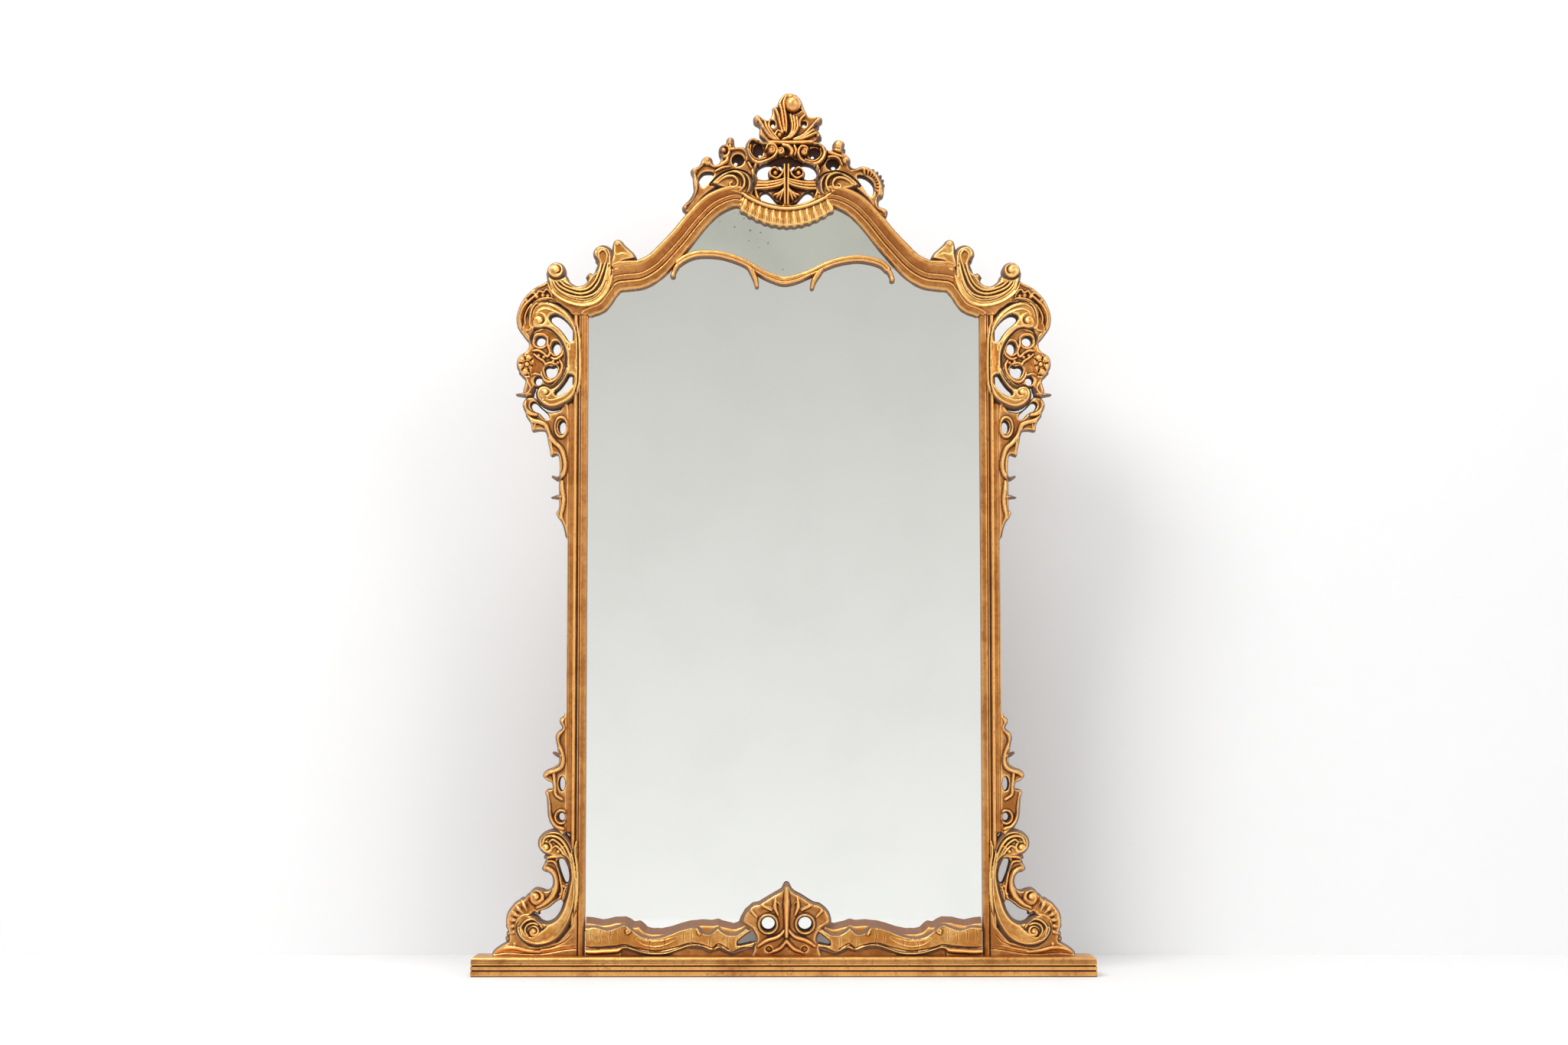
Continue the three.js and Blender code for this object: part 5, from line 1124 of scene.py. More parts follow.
crestCartouche = {
    "ground": 2,
    "grounds": [[
        (-62, 1263), (-50, 1256), (-38, 1252), (-20, 1246), (5, 1243), (30, 1246),
        (46, 1252), (56, 1256), (66, 1262), (58, 1275), (56, 1290), (60, 1304), (66, 1314),
        (72, 1326), (71, 1340), (64, 1349), (54, 1354), (40, 1353), (5, 1351), (-30, 1353),
        (-42, 1358), (-51, 1361), (-60, 1354), (-63, 1340), (-60, 1326), (-53, 1314),
        (-50, 1300), (-48, 1285), (-54, 1272),
    ]],
    "rolls": [
        [(-44, 1354, 5, 11), (-52, 1357, 6, 13), (-59, 1349, 6, 14), (-60, 1336, 7, 14),
         (-54, 1324, 7, 14), (-42, 1317.5, 7, 14), (-28, 1320, 7, 15), (-16, 1327, 6, 15),
         (-11, 1338, 5, 15), (-16, 1347, 5, 15), (-25, 1347, 4, 14), (-29, 1340, 4, 14)],
        even(3, 10, (-54, 1347), (-55, 1336), (-49, 1326.5), (-40, 1323), (-29, 1326), tip=1),
        [(50, 1349, 4, 11), (58, 1349, 6, 13), (66, 1341, 7, 14), (66, 1329, 7, 14),
         (59, 1319, 7, 14), (47, 1314.5, 7, 14), (34, 1318, 7, 15), (26, 1326, 6, 15),
         (24, 1336, 5, 15), (29, 1344, 5, 15), (37, 1343, 4, 14), (40, 1337, 3, 14)],
        even(3, 10, (60, 1340), (60, 1330), (55, 1323), (46, 1320), (35, 1323), tip=1),
        even(8, 14, (-1, 1347), (8, 1344), (13, 1337), (11, 1328)),
        even(5, 13, (17, 1346), (20, 1338), (18, 1330)),
        even(7, 13, (-38, 1351), (-16, 1351), (4, 1351), (26, 1351), (48, 1352), tip=0.95),
        # stalk with the curls each side and the fan below
        *pair(4.3, even(4.8, 16, (2, 1245), (1.6, 1262), (1.4, 1285), (1, 1314))),
        *[row for k in (0, 1, 2) for row in pair(4.3, [
            (1.3, 1284 + k * 3, 4, 15), (-7.7 - k, 1279 + k * 4, 5, 15),
            (-25.7, 1275.5 + k * 4.6, 5, 14), (-47.7, 1274.5 + k * 5.2, 5, 12)])],
        *[row for k in (0, 1, 2) for row in pair(4.3, [
            (1.3, 1276 - k, 4, 15), (-1.7 - k * 2.5, 1268 - k * 0.4, 5, 15),
            (-5.7 - k * 5, 1257 + k * 3.6, 4, 12)])],
        *pair(4.8, even(4, 15, (-1, 1306), (-4, 1297), (-12, 1291.5), (-21, 1296), (-22, 1304),
                        (-15, 1309), (-9, 1305))),
        even(6, 13, (-46, 1314), (-51, 1303), (-49, 1292), (-53, 1280)),
        even(6, 13, (55, 1312), (57, 1302), (55, 1291), (59, 1280)),
        *pair(4.4, even(5, 12.5, (-46, 1271), (-43, 1262), (-34, 1253), (-16, 1246.5))),
    ],
    "eyes": even(6, 16, (-20, 1338), (33, 1335), (-5, 1336), tip=1.1),
    "knobs": [(-14, 1300, 4, 16), (24, 1300, 4, 16)],
    "pits": [
        oval(-42, 1338, 8, 11), oval(50, 1334, 9, 9),
        [(-34, 1312), (-22, 1319), (-8, 1326), (4, 1328), (16, 1325), (28, 1318), (40, 1310),
         (24, 1313), (14, 1316), (4, 1318), (-6, 1316), (-18, 1313)],
    ],
    "holes": [
        *pair(4.3, [(-45, 1302), (-40, 1311), (-28, 1316), (-18, 1314), (-26, 1304),
                    (-25, 1294), (-32, 1291), (-42, 1294)]),
        *pair(4.5, [(-13, 1314), (-6, 1316), (-3, 1312), (-4, 1306), (-8, 1311)]),
        *pair(4.5, [(-39, 1261), (-36, 1268), (-28, 1270), (-21, 1264), (-12, 1254),
                    (-3, 1250), (-5, 1247.5), (-18, 1250), (-32, 1255)]),
        oval(-39, 1332, 3, 3.5, 8), oval(47, 1330, 3, 3.5, 8),
    ],
}

crestFinial = {
    "grounds": [[
        (-30, 1354), (-40, 1364), (-40, 1378), (-49, 1385), (-50, 1393), (-43, 1399),
        (-34, 1393), (-26, 1390), (-20, 1398), (-19, 1410), (-12, 1414), (-7, 1425),
        (0, 1433), (11, 1435.4), (22, 1431), (29, 1422), (33, 1411), (37, 1402), (42, 1396),
        (54, 1396), (62, 1394), (63, 1387), (55, 1381), (52, 1375), (60, 1367), (62, 1359),
        (54, 1355), (46, 1344), (5, 1342), (-28, 1344),
    ]],
    "rolls": [
        even(5.5, 15.5, (-2, 1368), (-6, 1380), (-9, 1395), (-14, 1408)),
        even(5.5, 16.5, (1, 1370), (-1, 1384), (-3, 1400), (-6, 1414)),
        [(4, 1368, 4, 15), (4, 1384, 5, 17), (2, 1400, 5, 17), (0, 1416, 5, 15),
         (4, 1428, 4, 13)],
        *[[(-2 + k, 1355 + k, 4, 13), (9 + k * 2, 1361 - k * 0.4, 4.6, 15),
           (14 + k * 4, 1376 - k, 5, 17), (11 + k * 5, 1396 - k * 2, 5, 15)] for k in (0, 1, 2)],
        *[[(-12 + k * 3, 1355 - k, 4, 12), (-23 + k * 3, 1361 + k * 2, 5, 14),
           (-32 + k * 4, 1374 + k * 2, 5, 14), (-40 + k * 9, 1388, 5, 12)] for k in (0, 1, 2)],
        *[[(16 + k * 3, 1356 - k, 4, 12), (32 + k, 1363 - k * 2.4, 5, 14),
           (43 + k * 2, 1374 - k * 5, 5, 14), (56, 1389 - k * 10, 5, 11)] for k in (0, 1, 2)],
        even(5, 14, (26, 1378), (27, 1388), (34, 1396)),
        even(4, 15, (-9, 1357), (-14, 1363), (-9, 1370), (-2, 1366)),
    ],
    "knobs": [(14, 1415, 13.5, 19), (11, 1425, 8, 14), (-44, 1391, 6, 13), (-7, 1363, 4, 16),
              (58, 1390, 4.5, 12), (57, 1362, 4, 12)],
    "cuts": [even(3, 6, (3, 1404), (10, 1401), (19, 1401), (28, 1406), tip=1)],
    "holes": [oval(-18, 1382, 3, 5, 8), oval(33, 1382, 3.5, 4, 8)],
}

wings = {
    "left": {
        "grounds": [[
            (-165, 1240), (-163, 1250), (-153, 1257), (-148, 1270), (-149, 1285), (-150, 1296),
            (-153, 1305), (-148, 1311), (-139, 1314), (-134, 1325), (-127, 1330), (-119, 1327),
            (-114, 1316), (-106, 1318), (-103, 1330), (-105, 1339), (-101, 1347), (-95, 1351),
            (-93, 1359), (-88, 1362), (-82, 1359), (-81, 1351), (-79, 1345), (-68, 1346),
            (-60, 1340), (-52, 1318), (-44, 1300), (-60, 1280), (-100, 1280), (-130, 1262),
            (-150, 1236),
        ]],
        "ground": -4,
        "rolls": [
            even(6, 12, (-88, 1347), (-86, 1340), (-76, 1342), (-65, 1339), (-60, 1331),
                 (-61, 1322)),
            even(7, 13, (-91, 1329), (-94, 1320), (-104, 1314), (-113, 1312), (-119, 1314)),
            [(-131, 1317, 6, 13), (-139, 1310, 7, 13), (-146, 1304, 7, 13)],
            even(6.5, 12, (-146, 1298), (-143, 1286), (-144, 1272), (-151, 1258), (-159, 1249),
                     (-164, 1243)),
            even(5, 12, (-112, 1303), (-100, 1309), (-88, 1311)),
            even(5, 12, (-58, 1318), (-54, 1311), (-50, 1304)),
        ],
        "rings": [(-97, 1337, 8, 10, 5, 14)],
        "knobs": [(-88, 1354, 6.6, 15), (-147, 1303, 5.5, 15), (-98, 1338, 4, 15),
                            (-162, 1244, 4.5, 11)],
        "eyes": [(-125, 1321, 8.6, 15)],
        "holes": [
            [(-139, 1290), (-134, 1299), (-127, 1302), (-115, 1300), (-124, 1286), (-133, 1278)],
            oval(-79, 1319, 3.5, 4, 8),
        ],
        "pits": [oval(-75, 1322, 9, 9)],
    },
    "right": {
        "grounds": [[
            (166, 1228), (170, 1238), (164, 1244), (156, 1247), (155, 1258), (163, 1264),
            (163, 1280), (158, 1292), (152, 1302), (142, 1309), (130, 1314), (120, 1310),
            (110, 1308), (106, 1318), (108, 1326), (102, 1333), (97, 1338), (100, 1350),
            (95, 1356), (86, 1357), (80, 1350), (78, 1340), (66, 1340), (60, 1320), (54, 1300),
            (70, 1280), (106, 1280), (134, 1260), (152, 1234),
        ]],
        "ground": -4,
        "rolls": [
            even(6, 14, (84, 1339), (92, 1337), (99, 1340)),
            even(6, 12, (64, 1335), (74, 1335), (85, 1331), (95, 1328)),
            even(4, 12, (65, 1319), (71, 1326), (81, 1327.5), (90, 1324), (95, 1314), tip=1),
            [(106, 1315, 5, 12), (110, 1309, 6, 12), (118, 1307, 6, 12), (128, 1309, 8, 12),
             (141, 1305, 8, 12), (151, 1296, 8, 12), (157, 1284, 8, 12), (157, 1270, 7, 12),
             (153, 1256, 6, 12), (152, 1246, 6, 12), (158, 1240, 6, 11), (165, 1237, 4, 10)],
            *[[(136 + 16 * math.cos(a), 1282 + 16 * math.sin(a), 3, 11),
                 (136 + 22 * math.cos(a), 1282 + 22 * math.sin(a), 5, 14.5),
                 (136 + 27 * math.cos(a), 1282 + 27 * math.sin(a), 5, 11)]
                for a in [math.radians(17 * k - 34) for k in range(9)]],
            even(5, 12, (58, 1316), (60, 1308), (57, 1300)),
        ],
        "knobs": [(90, 1347, 8.5, 15), (165, 1237, 5, 12)],
        "eyes": [(102, 1322, 7.5, 15)],
        "holes": [
            [(121, 1296), (134, 1294), (145, 1284), (147, 1272), (142, 1263), (130, 1279)],
            oval(81, 1312, 4, 4, 8),
        ],
        "pits": [oval(80, 1315, 10, 8.5)],
    },
}
# Mouldings of the head

archSection = [
    (0, 2.6), (0.04, 4.2), (0.19, 6.4), (0.205, 5.4), (0.215, 7.2), (0.235, 9), (0.255, 9.5),
    (0.275, 8.8), (0.29, 6.4), (0.3, 4.2), (0.32, 3.6), (0.335, 5.2), (0.35, 6), (0.43, 6.6),
    (0.445, 6), (0.455, 8.4), (0.475, 9.5), (0.495, 8.4), (0.505, 4.6), (0.515, 3.8),
    (0.54, 4.4), (0.6, 5.2), (0.68, 7.4), (0.75, 10), (0.79, 12), (0.8, 10.9), (0.81, 12.5),
    (0.9, 12.4), (1, 11.8),
]
arch = {
    "back": frameBack, "rebate": rebateOutline, "sideFrom": 1, "slope": 3,
    "mouldings": [([
        (-284, 1084, 47), (-276, 1096, 47), (-267, 1107, 48), (-254, 1109, 49),
        (-230, 1112.5, 47), (-210, 1122, 45),
        (-190, 1138, 42), (-165, 1166, 40), (-150, 1184, 39), (-130, 1210, 38),
        (-110, 1231, 38), (-95, 1241, 37), (-80, 1247, 35), (-70, 1246, 33),
    ], archSection)],
    "limits": [("x", -277, 0)],
}
shoulderSection = [
    (0, 2.6), (0.03, 3.4), (0.36, 6.2), (0.39, 5.2), (0.42, 7.4), (0.48, 8.6), (0.55, 7.6),
    (0.59, 4.6), (0.64, 3.8), (0.69, 5.2), (0.8, 6), (0.95, 6), (1, 5),
]
shoulder = {
    "back": frameBack, "rebate": rebateOutline, "ground": -5, "sideFrom": 1, "slope": 3,
    "mouldings": [([
        (-318, 1064, 24), (-309, 1068, 24), (-300, 1071, 24), (-290, 1077, 24),
        (-283, 1085, 24), (-275, 1097, 24), (-264, 1111, 24),
    ], shoulderSection)],
    "grounds": [straight([
        (-344, 1066), (-322, 1066), (-304, 1080), (-288, 1096), (-275, 1116), (-263, 1112),
        (-263, 1157), (-274, 1156), (-282, 1136), (-300, 1112), (-326, 1100), (-352, 1102),
        (-378, 1112), (-388, 1098), (-382, 1089), (-366, 1085), (-351, 1074),
    ])],
    "limits": [("z", 1066, 1160)],
}
barBack = 12.3
barLine = [
    (-172, 1154), (-160, 1162), (-143, 1168), (-122, 1169), (-102, 1167), (-84, 1162),
    (-66, 1155), (-50, 1146), (-34, 1136), (-18, 1129), (0, 1124), (18, 1127), (34, 1133),
    (50, 1140), (66, 1148), (84, 1155), (102, 1159), (122, 1161), (143, 1158), (160, 1152),
    (169, 1144),
]
bar = {
    "back": barBack, "sideFrom": -4, "slope": 4.6,
    "rolls": [
        [(x, z, 12 + 3 * math.exp(-(x / 32)**2), 5.4) for x, z in barLine],
        [(-60, 1151, 7, 5), (-52, 1140, 10, 6), (-46, 1126, 9, 5), (-44, 1116, 7, 3)],
        [(64, 1146, 7, 5), (57, 1137, 10, 6), (49, 1124, 9, 5), (46, 1113, 7, 3)],
        [(-168, 1156, 6, 4), (-176, 1146, 8, 5), (-181, 1135, 7, 3)],
        [(165, 1147, 6, 4), (173, 1138, 8, 5), (177, 1128, 7, 3)],
    ],
    "knobs": [(-181, 1133, 4.5, 5), (177, 1126, 4.5, 5)],
    "cuts": [[(x, z - 1.5, 2, 1.8) for x, z in barLine]],
}
railTop = [
    (-315.7, 94), (-305, 93), (-290, 90), (-282, 91), (-270, 94), (-253, 94.5), (-245, 91),
    (-239, 87), (-230, 88), (-224, 84), (-218, 78), (-210, 76), (-195, 76), (-180, 79),
    (-165, 84), (-150, 88), (-130, 90), (-115, 89), (-105, 91), (-97, 88), (-80, 84),
    (-72, 87), (-69, 95), (-62, 107), (-50, 117), (-40, 119), (-20, 131), (-6, 139),
]
rail = {
    "back": frameBack, "rebate": [(-340, 70), (340, 70), (340, 200), (-340, 200)],
    "sideFrom": -12.3, "slope": 1.35, "ground": -1.5,
    "grounds": [straight([(-340, 20), (-340, 94), *railTop, (3, 146),
                          *[(-x, z) for x, z in railTop[::-1]], (340, 94), (340, 20)], 4)],
    "holes": [windowLeft, flipped(windowLeft), oval(-25, 84, 12.5, 12.5), oval(34, 84, 12.5, 12.5)],
    "limits": [("z", foot, 200), ("x", -317, 317)],
}
stileRoom = {"grounds": [straight([(-340, 20), (-316, 20), (-316, 1066), (-340, 1066)], 12)]}
corner = [earScroll, cornerScroll, cornerVine, cornerLeaf, leafDrop]
carve("arch", arch, [], [shoulder, crestSwag], "moulding", pitch=0.9, seed=3)
carve("shoulder", shoulder, [arch], [stileRoom, *corner], "moulding", pitch=0.9, seed=4)
carve("ear_scroll", earScroll, [], [arch, shoulder, *corner[1:4]], "scroll", seed=5)
carve("corner_scroll", cornerScroll, [earScroll], [shoulder, stileRoom, *corner[2:]], "scroll",
      seed=6)
carve("corner_vine", cornerVine, [cornerScroll], [cornerLeaf], "leaf", seed=7)
carve("corner_leaf", cornerLeaf, [earScroll, cornerScroll, cornerVine], [shoulder, leafDrop],
      "leaf", seed=8)
carve("leaf_drop", leafDrop, [cornerScroll, cornerLeaf], [stileRoom, cornerVine], "leaf",
      seed=9)
carve("lower_scroll", lowerScroll, [], [stileRoom, scrollStem, footShell, stileSpray],
      "scroll", seed=10)
carve("stile_spray", stileSpray, [lowerScroll], [stileRoom], "leaf", seed=11)
carve("scroll_stem", scrollStem, [lowerScroll], [stileRoom, footShell], "leaf", seed=12)
carve("foot_shell", footShell, [lowerScroll, scrollStem], [stileRoom], "leaf", seed=13)
carve("bottom_rail", rail, [], [stileRoom], "moulding", both=False, pitch=1.2, seed=14)
carve("bottom_ribbon", bottomRibbon, [bottomPalmette], [stileRoom], "scroll", seed=15)
carve("bottom_palmette", bottomPalmette, [], [], "leaf", both=False, seed=16)
carve("glazing_bar", bar, [], [], "moulding", both=False, pitch=0.9, seed=17)
carve("crest_swag", crestSwag, [], [arch, crestCartouche, *volutes.values()], "scroll",
      both=False, seed=18)
carve("arch_volute_left", volutes["left"], [crestSwag], [crestCartouche, arch], "scroll",
      both=False, seed=19)
carve("arch_volute_right", volutes["right"], [crestSwag], [crestCartouche, arch], "scroll",
      both=False, seed=20)
carve("crest_cartouche", crestCartouche, [crestSwag, *volutes.values()],
      [crestFinial, *wings.values()], "leaf", both=False, pitch=0.9, seed=21)
carve("crest_finial", crestFinial, [crestCartouche], [], "leaf", both=False, seed=22)
for side in ("left", "right"):
    carve("crest_wing_" + side, wings[side], [volutes[side], crestCartouche, crestSwag],
          [arch], "leaf", both=False, seed=23)
print("carvings made")


# Mouldings that run straight: a section swept along a line

def profileMesh(name, section):
    mesh = bpy.data.meshes.new(name)
    rows = np.array([row[:2] for row in section]) * millimetre
    count = len(rows)
    mesh.from_pydata([(x, y, 0) for x, y in rows], [(i, (i + 1) % count) for i in range(count)],
                     [])
    setMasks(mesh, [(*row[2:], *([0] * (6 - len(row)))) for row in section])
    return mesh


def finishGroup(tree, geometry, material):
    whole = addNode(tree, "GeometryNodeRealizeInstances", {0: geometry})
    coat = addNode(tree, "GeometryNodeSetMaterial", {"Geometry": whole, "Material": material})
    addNode(tree, "NodeGroupOutput", {0: coat})
    return tree


def sweepTree(name):
    # the section runs upward from Low to High, its ends rounded off and its faces a little uneven
    tree, get = newGroup(name, "GeometryNodeTree", {
        "Section": "Geometry", "Low": 0.0, "High": 1.0, "Rounding": 0.0, "Waver": 0.0002,
        "Seed": 1, "Material": "Material"}, {"Mesh": "Geometry"})
    section = addNode(tree, "GeometryNodeMeshToCurve", {0: get("Section")})
    low, high = (addNode(tree, "ShaderNodeCombineXYZ", {"Z": get(k)}) for k in ("Low", "High"))
    line = addNode(tree, "GeometryNodeCurvePrimitiveLine", {"Start": low, "End": high})
    fine = addNode(tree, "GeometryNodeResampleCurve", {"Curve": line, "Count": 160})
    along = Value(addNode(tree, "GeometryNodeSplineParameter"), "Length")
    fromEnd = mathNode("MINIMUM", along, get("High") - get("Low") - along)
    reach = mathNode("MAXIMUM", get("Rounding"), 0.000001)
    left = 1.0 - mathNode("DIVIDE", fromEnd + 0.000002, reach, True)
    wide = mathNode("SQRT", 1.02 - left * left)
    curved = addNode(tree, "GeometryNodeSetCurveRadius", {"Curve": fine, "Radius": wide})
    swept = addNode(tree, "GeometryNodeCurveToMesh", {
        "Curve": curved, "Profile Curve": section, "Scale": wide, "Fill Caps": True})
    grain = addNode(tree, "ShaderNodeTexNoise", {
        "Vector": addNode(tree, "GeometryNodeInputPosition"), "W": get("Seed"), "Scale": 14},
        noise_dimensions="4D")
    centred = addNode(tree, "ShaderNodeVectorMath", {
        0: Value(grain, "Color"), 1: (0.5, 0.5, 0.5)}, operation="SUBTRACT")
    pushed = addNode(tree, "ShaderNodeVectorMath", {0: centred, "Scale": get("Waver")},
                     operation="SCALE")
    moved = addNode(tree, "GeometryNodeSetPosition", {"Geometry": swept, "Offset": pushed})
    return finishGroup(tree, moved, get("Material"))


def grown(name, mesh, tree, **settings):  # a plain mesh from a tree and its named inputs
    start = placed(name + "_start", mesh)
    modifier = start.modifiers.new("grow", "NODES")
    modifier.node_group = tree
    for item in tree.interface.items_tree:
        if item.item_type == "SOCKET" and item.in_out == "INPUT" and item.name in settings:
            modifier[item.identifier] = settings[item.name]
    made = bpy.data.meshes.new_from_object(start.evaluated_get(
        bpy.context.evaluated_depsgraph_get()))
    bpy.data.objects.remove(start)
    made.name = name
    return placed(name, made)


def mirrored(piece, name):
    mesh = piece.data.copy()
    mesh.transform(Matrix.Scale(-1, 4, (1, 0, 0)))
    mesh.flip_normals()
    return placed(name, mesh)


stileSection = [  # x, y, hollow (patina and painted shade), ridge (burnish and painted highlight), rim
    (-316, 12.3), (-316, 2), (-316.5, 0.4, 0, 0.4), (-317.6, -1.2, 0, 0.3), (-320, -2.7),
    (-323, -3.6), (-325.4, -3.9, 0, 0.5), (-326.1, -3.2, 0.2, 0), (-326.6, -1.5, 1, 0),
    (-327.3, -1.2, 0.9, 0), (-328, -1.9, 0, 0.5), (-329, -1.9, 0, 0.5), (-329.7, -1, 0.9, 0),
    (-330.4, -0.7, 1, 0), (-331, -1.6, 0.8, 0), (-331.5, -4, 0.2, 0), (-332.3, -6),
    (-333.5, -7.2, 0, 0.6), (-335, -7.5, 0, 0.6), (-336.6, -7.2, 0, 0.4), (-338, -6),
    (-338.9, -4, 0.2, 0), (-339.3, -2.2, 0.9, 0), (-340, -1.5, 1, 0), (-340, 27.8, 0.1, 0, 0.9),
    (-325, 27.8, 0.1, 0, 0.9), (-325, 12.3, 0.1, 0, 0.9),
]
panelSection = [  # about its own middle
    (5.5, 26, 0, 0, 1), (5.5, -2, 1, 0), (4.3, -2.2, 0.9, 0), (3.6, -3.6, 0.2, 0),
    (2.8, -4.8, 0, 0.5), (1.6, -5), (-1.2, -5), (-2.6, -4.9, 0, 0.4),
    (-3.2, -4, 0.8, 0), (-3.8, -4.2, 0.3, 0.2),
    (-4.6, -3.8, 0, 0.5), (-5.4, -2.6), (-5.5, -1, 0, 0, 0.6), (-5.5, 26, 0, 0, 1),
]
stileSet = {"low": 33.8, "high": 1066, "panelLow": 226, "panelHigh": 925, "panelMiddle": -344.5}
sweep = sweepTree("moulding run")
stile = grown("stile_left_run", profileMesh("stile section", stileSection), sweep,
              Low=(stileSet["low"] + lift) * millimetre,
              High=(stileSet["high"] + lift) * millimetre,
              Waver=0.00035, Seed=5, Material=gilt["moulding"])
panel = grown("panel_left_run", profileMesh("panel section", panelSection), sweep,
              Low=(stileSet["panelLow"] + lift) * millimetre,
              High=(stileSet["panelHigh"] + lift) * millimetre, Rounding=0.009,
              Waver=0.0005, Seed=9, Material=gilt["moulding"])
panel.data.transform(Matrix.Translation((stileSet["panelMiddle"] * millimetre, 0, 0)))
both = bmesh.new()
both.from_mesh(stile.data)
both.from_mesh(panel.data)
both.to_mesh(stile.data)
both.free()
bpy.data.objects.remove(panel)
for polygon in stile.data.polygons:
    polygon.use_smooth = abs(polygon.normal.z) < 0.5
ride(stile, "gilt_moulding", "stile_left")
ride(mirrored(stile, "stile_right_run"), "gilt_moulding", "stile_right")
print("stiles made")


# Plinth: a beam whose faces step in and out with height, all round the front and ends

plinthSet = {"width": 994, "depth": 80}
plinthSteps = [  # height, how far the face stands back, hollow (patina and painted shade), ridge (burnish and painted highlight)
    (0, 0.6, 1, 0), (1.2, 0.5, 0.8, 0), (1.6, 0, 0, 0.4), (8.4, 0, 0, 0.3), (8.8, 0.6, 0.8, 0),
    (9.4, 1.7, 1, 0), (10.2, 1.7, 1, 0), (10.8, 0.5, 0.7, 0), (11.2, 0.1, 0, 0.5),
    (15.8, 0.1, 0, 0.4), (16.4, 0.8, 0.7, 0), (16.9, 2.3, 1, 0), (17.9, 2.3, 1, 0),
    (18.4, 1, 0.8, 0), (18.8, 0.3, 0, 0.6), (21.6, 0.3, 0, 0.3), (21.9, 0.9, 0.8, 0),
    (22.3, 0.9, 0.6, 0), (22.6, 0.4, 0, 0.3), (24.7, 0.5, 0, 0.3), (25, 1.1, 0.8, 0),
    (25.4, 1.1, 0.5, 0), (25.7, 0.7, 0, 0.3), (28, 1.1, 0, 0.3), (29.6, 2, 0, 0.5),
    (30.6, 3.3, 0, 0.6), (31, 4.6, 0, 0.3),
]


def plinthTree(name):
    # a block of rows, each pulled in by the amount its point on the guide line carries
    tree, get = newGroup(name, "GeometryNodeTree", {
        "Steps": "Geometry", "Width": 0.994, "Depth": 0.08, "Pieces Along": 90,
        "Waver": 0.0003, "Seed": 2, "Material": "Material"}, {"Mesh": "Geometry"})
    steps, width, depth = get("Steps"), get("Width"), get("Depth")
    rows = Value(addNode(tree, "GeometryNodeAttributeDomainSize", {0: steps},
                         component="MESH"), "Point Count")
    span = addNode(tree, "ShaderNodeCombineXYZ", {"X": width, "Y": depth, "Z": 1})
    block = addNode(tree, "GeometryNodeMeshCube", {
        "Size": span, "Vertices X": get("Pieces Along"), "Vertices Y": 8, "Vertices Z": rows})
    place = addNode(tree, "GeometryNodeInputPosition")
    apart = addNode(tree, "ShaderNodeSeparateXYZ", {0: place})
    x, y, z = (Value(apart, k) for k in "XYZ")
    row = mathNode("ROUND", (z + 0.5) * (rows - 1.0))
    guide = addNode(tree, "GeometryNodeSampleIndex", data_type="FLOAT_VECTOR")
    masks = addNode(tree, "GeometryNodeSampleIndex", data_type="FLOAT_COLOR")
    named = addNode(tree, "GeometryNodeInputNamedAttribute", {"Name": "carving"},
                    data_type="FLOAT_COLOR")
    for node, value in ((guide, addNode(tree, "GeometryNodeInputPosition")), (masks, named)):
        put(steps, node.inputs["Geometry"])
        put(value, node.inputs["Value"])
        put(row, node.inputs["Index"])
    step = addNode(tree, "ShaderNodeSeparateXYZ", {0: guide})
    inset = Value(step, "X")
    half = mathNode("DIVIDE", width, 2.0)
    fromBack = 0.5 - mathNode("DIVIDE", y, depth)
    joined = addNode(tree, "ShaderNodeCombineXYZ", {
        "X": x * mathNode("DIVIDE", half - inset, half), "Y": y + fromBack * inset,
        "Z": Value(step, "Z")})
    grain = addNode(tree, "ShaderNodeTexNoise", {"Vector": place, "W": get("Seed"), "Scale": 9},
                    noise_dimensions="4D")
    inward = addNode(tree, "ShaderNodeCombineXYZ", {
        "Y": Value(grain, "Fac") * get("Waver") * fromBack})
    stored = addNode(tree, "GeometryNodeStoreNamedAttribute", {
        "Name": "carving", "Value": masks, "Geometry": Value(block, "Mesh")},
        data_type="FLOAT_COLOR")
    moved = addNode(tree, "GeometryNodeSetPosition", {
        "Geometry": stored, "Position": joined, "Offset": inward})
    return finishGroup(tree, moved, get("Material"))


def stepLine(steps):
    mesh = bpy.data.meshes.new("plinth steps")
    mesh.from_pydata([(back * millimetre, 0, z * millimetre) for z, back, _, _ in steps], [], [])
    setMasks(mesh, [(hollow, ridge, 0, 0) for _, _, hollow, ridge in steps])
    return mesh


plinth = grown("plinth_beam", stepLine(plinthSteps), plinthTree("stepped beam"),
               Width=plinthSet["width"] * millimetre, Depth=plinthSet["depth"] * millimetre,
               Material=gilt["moulding"])
ride(plinth, "gilt_moulding", "plinth_rail")
print("plinth made", len(plinth.data.vertices))


# Other materials

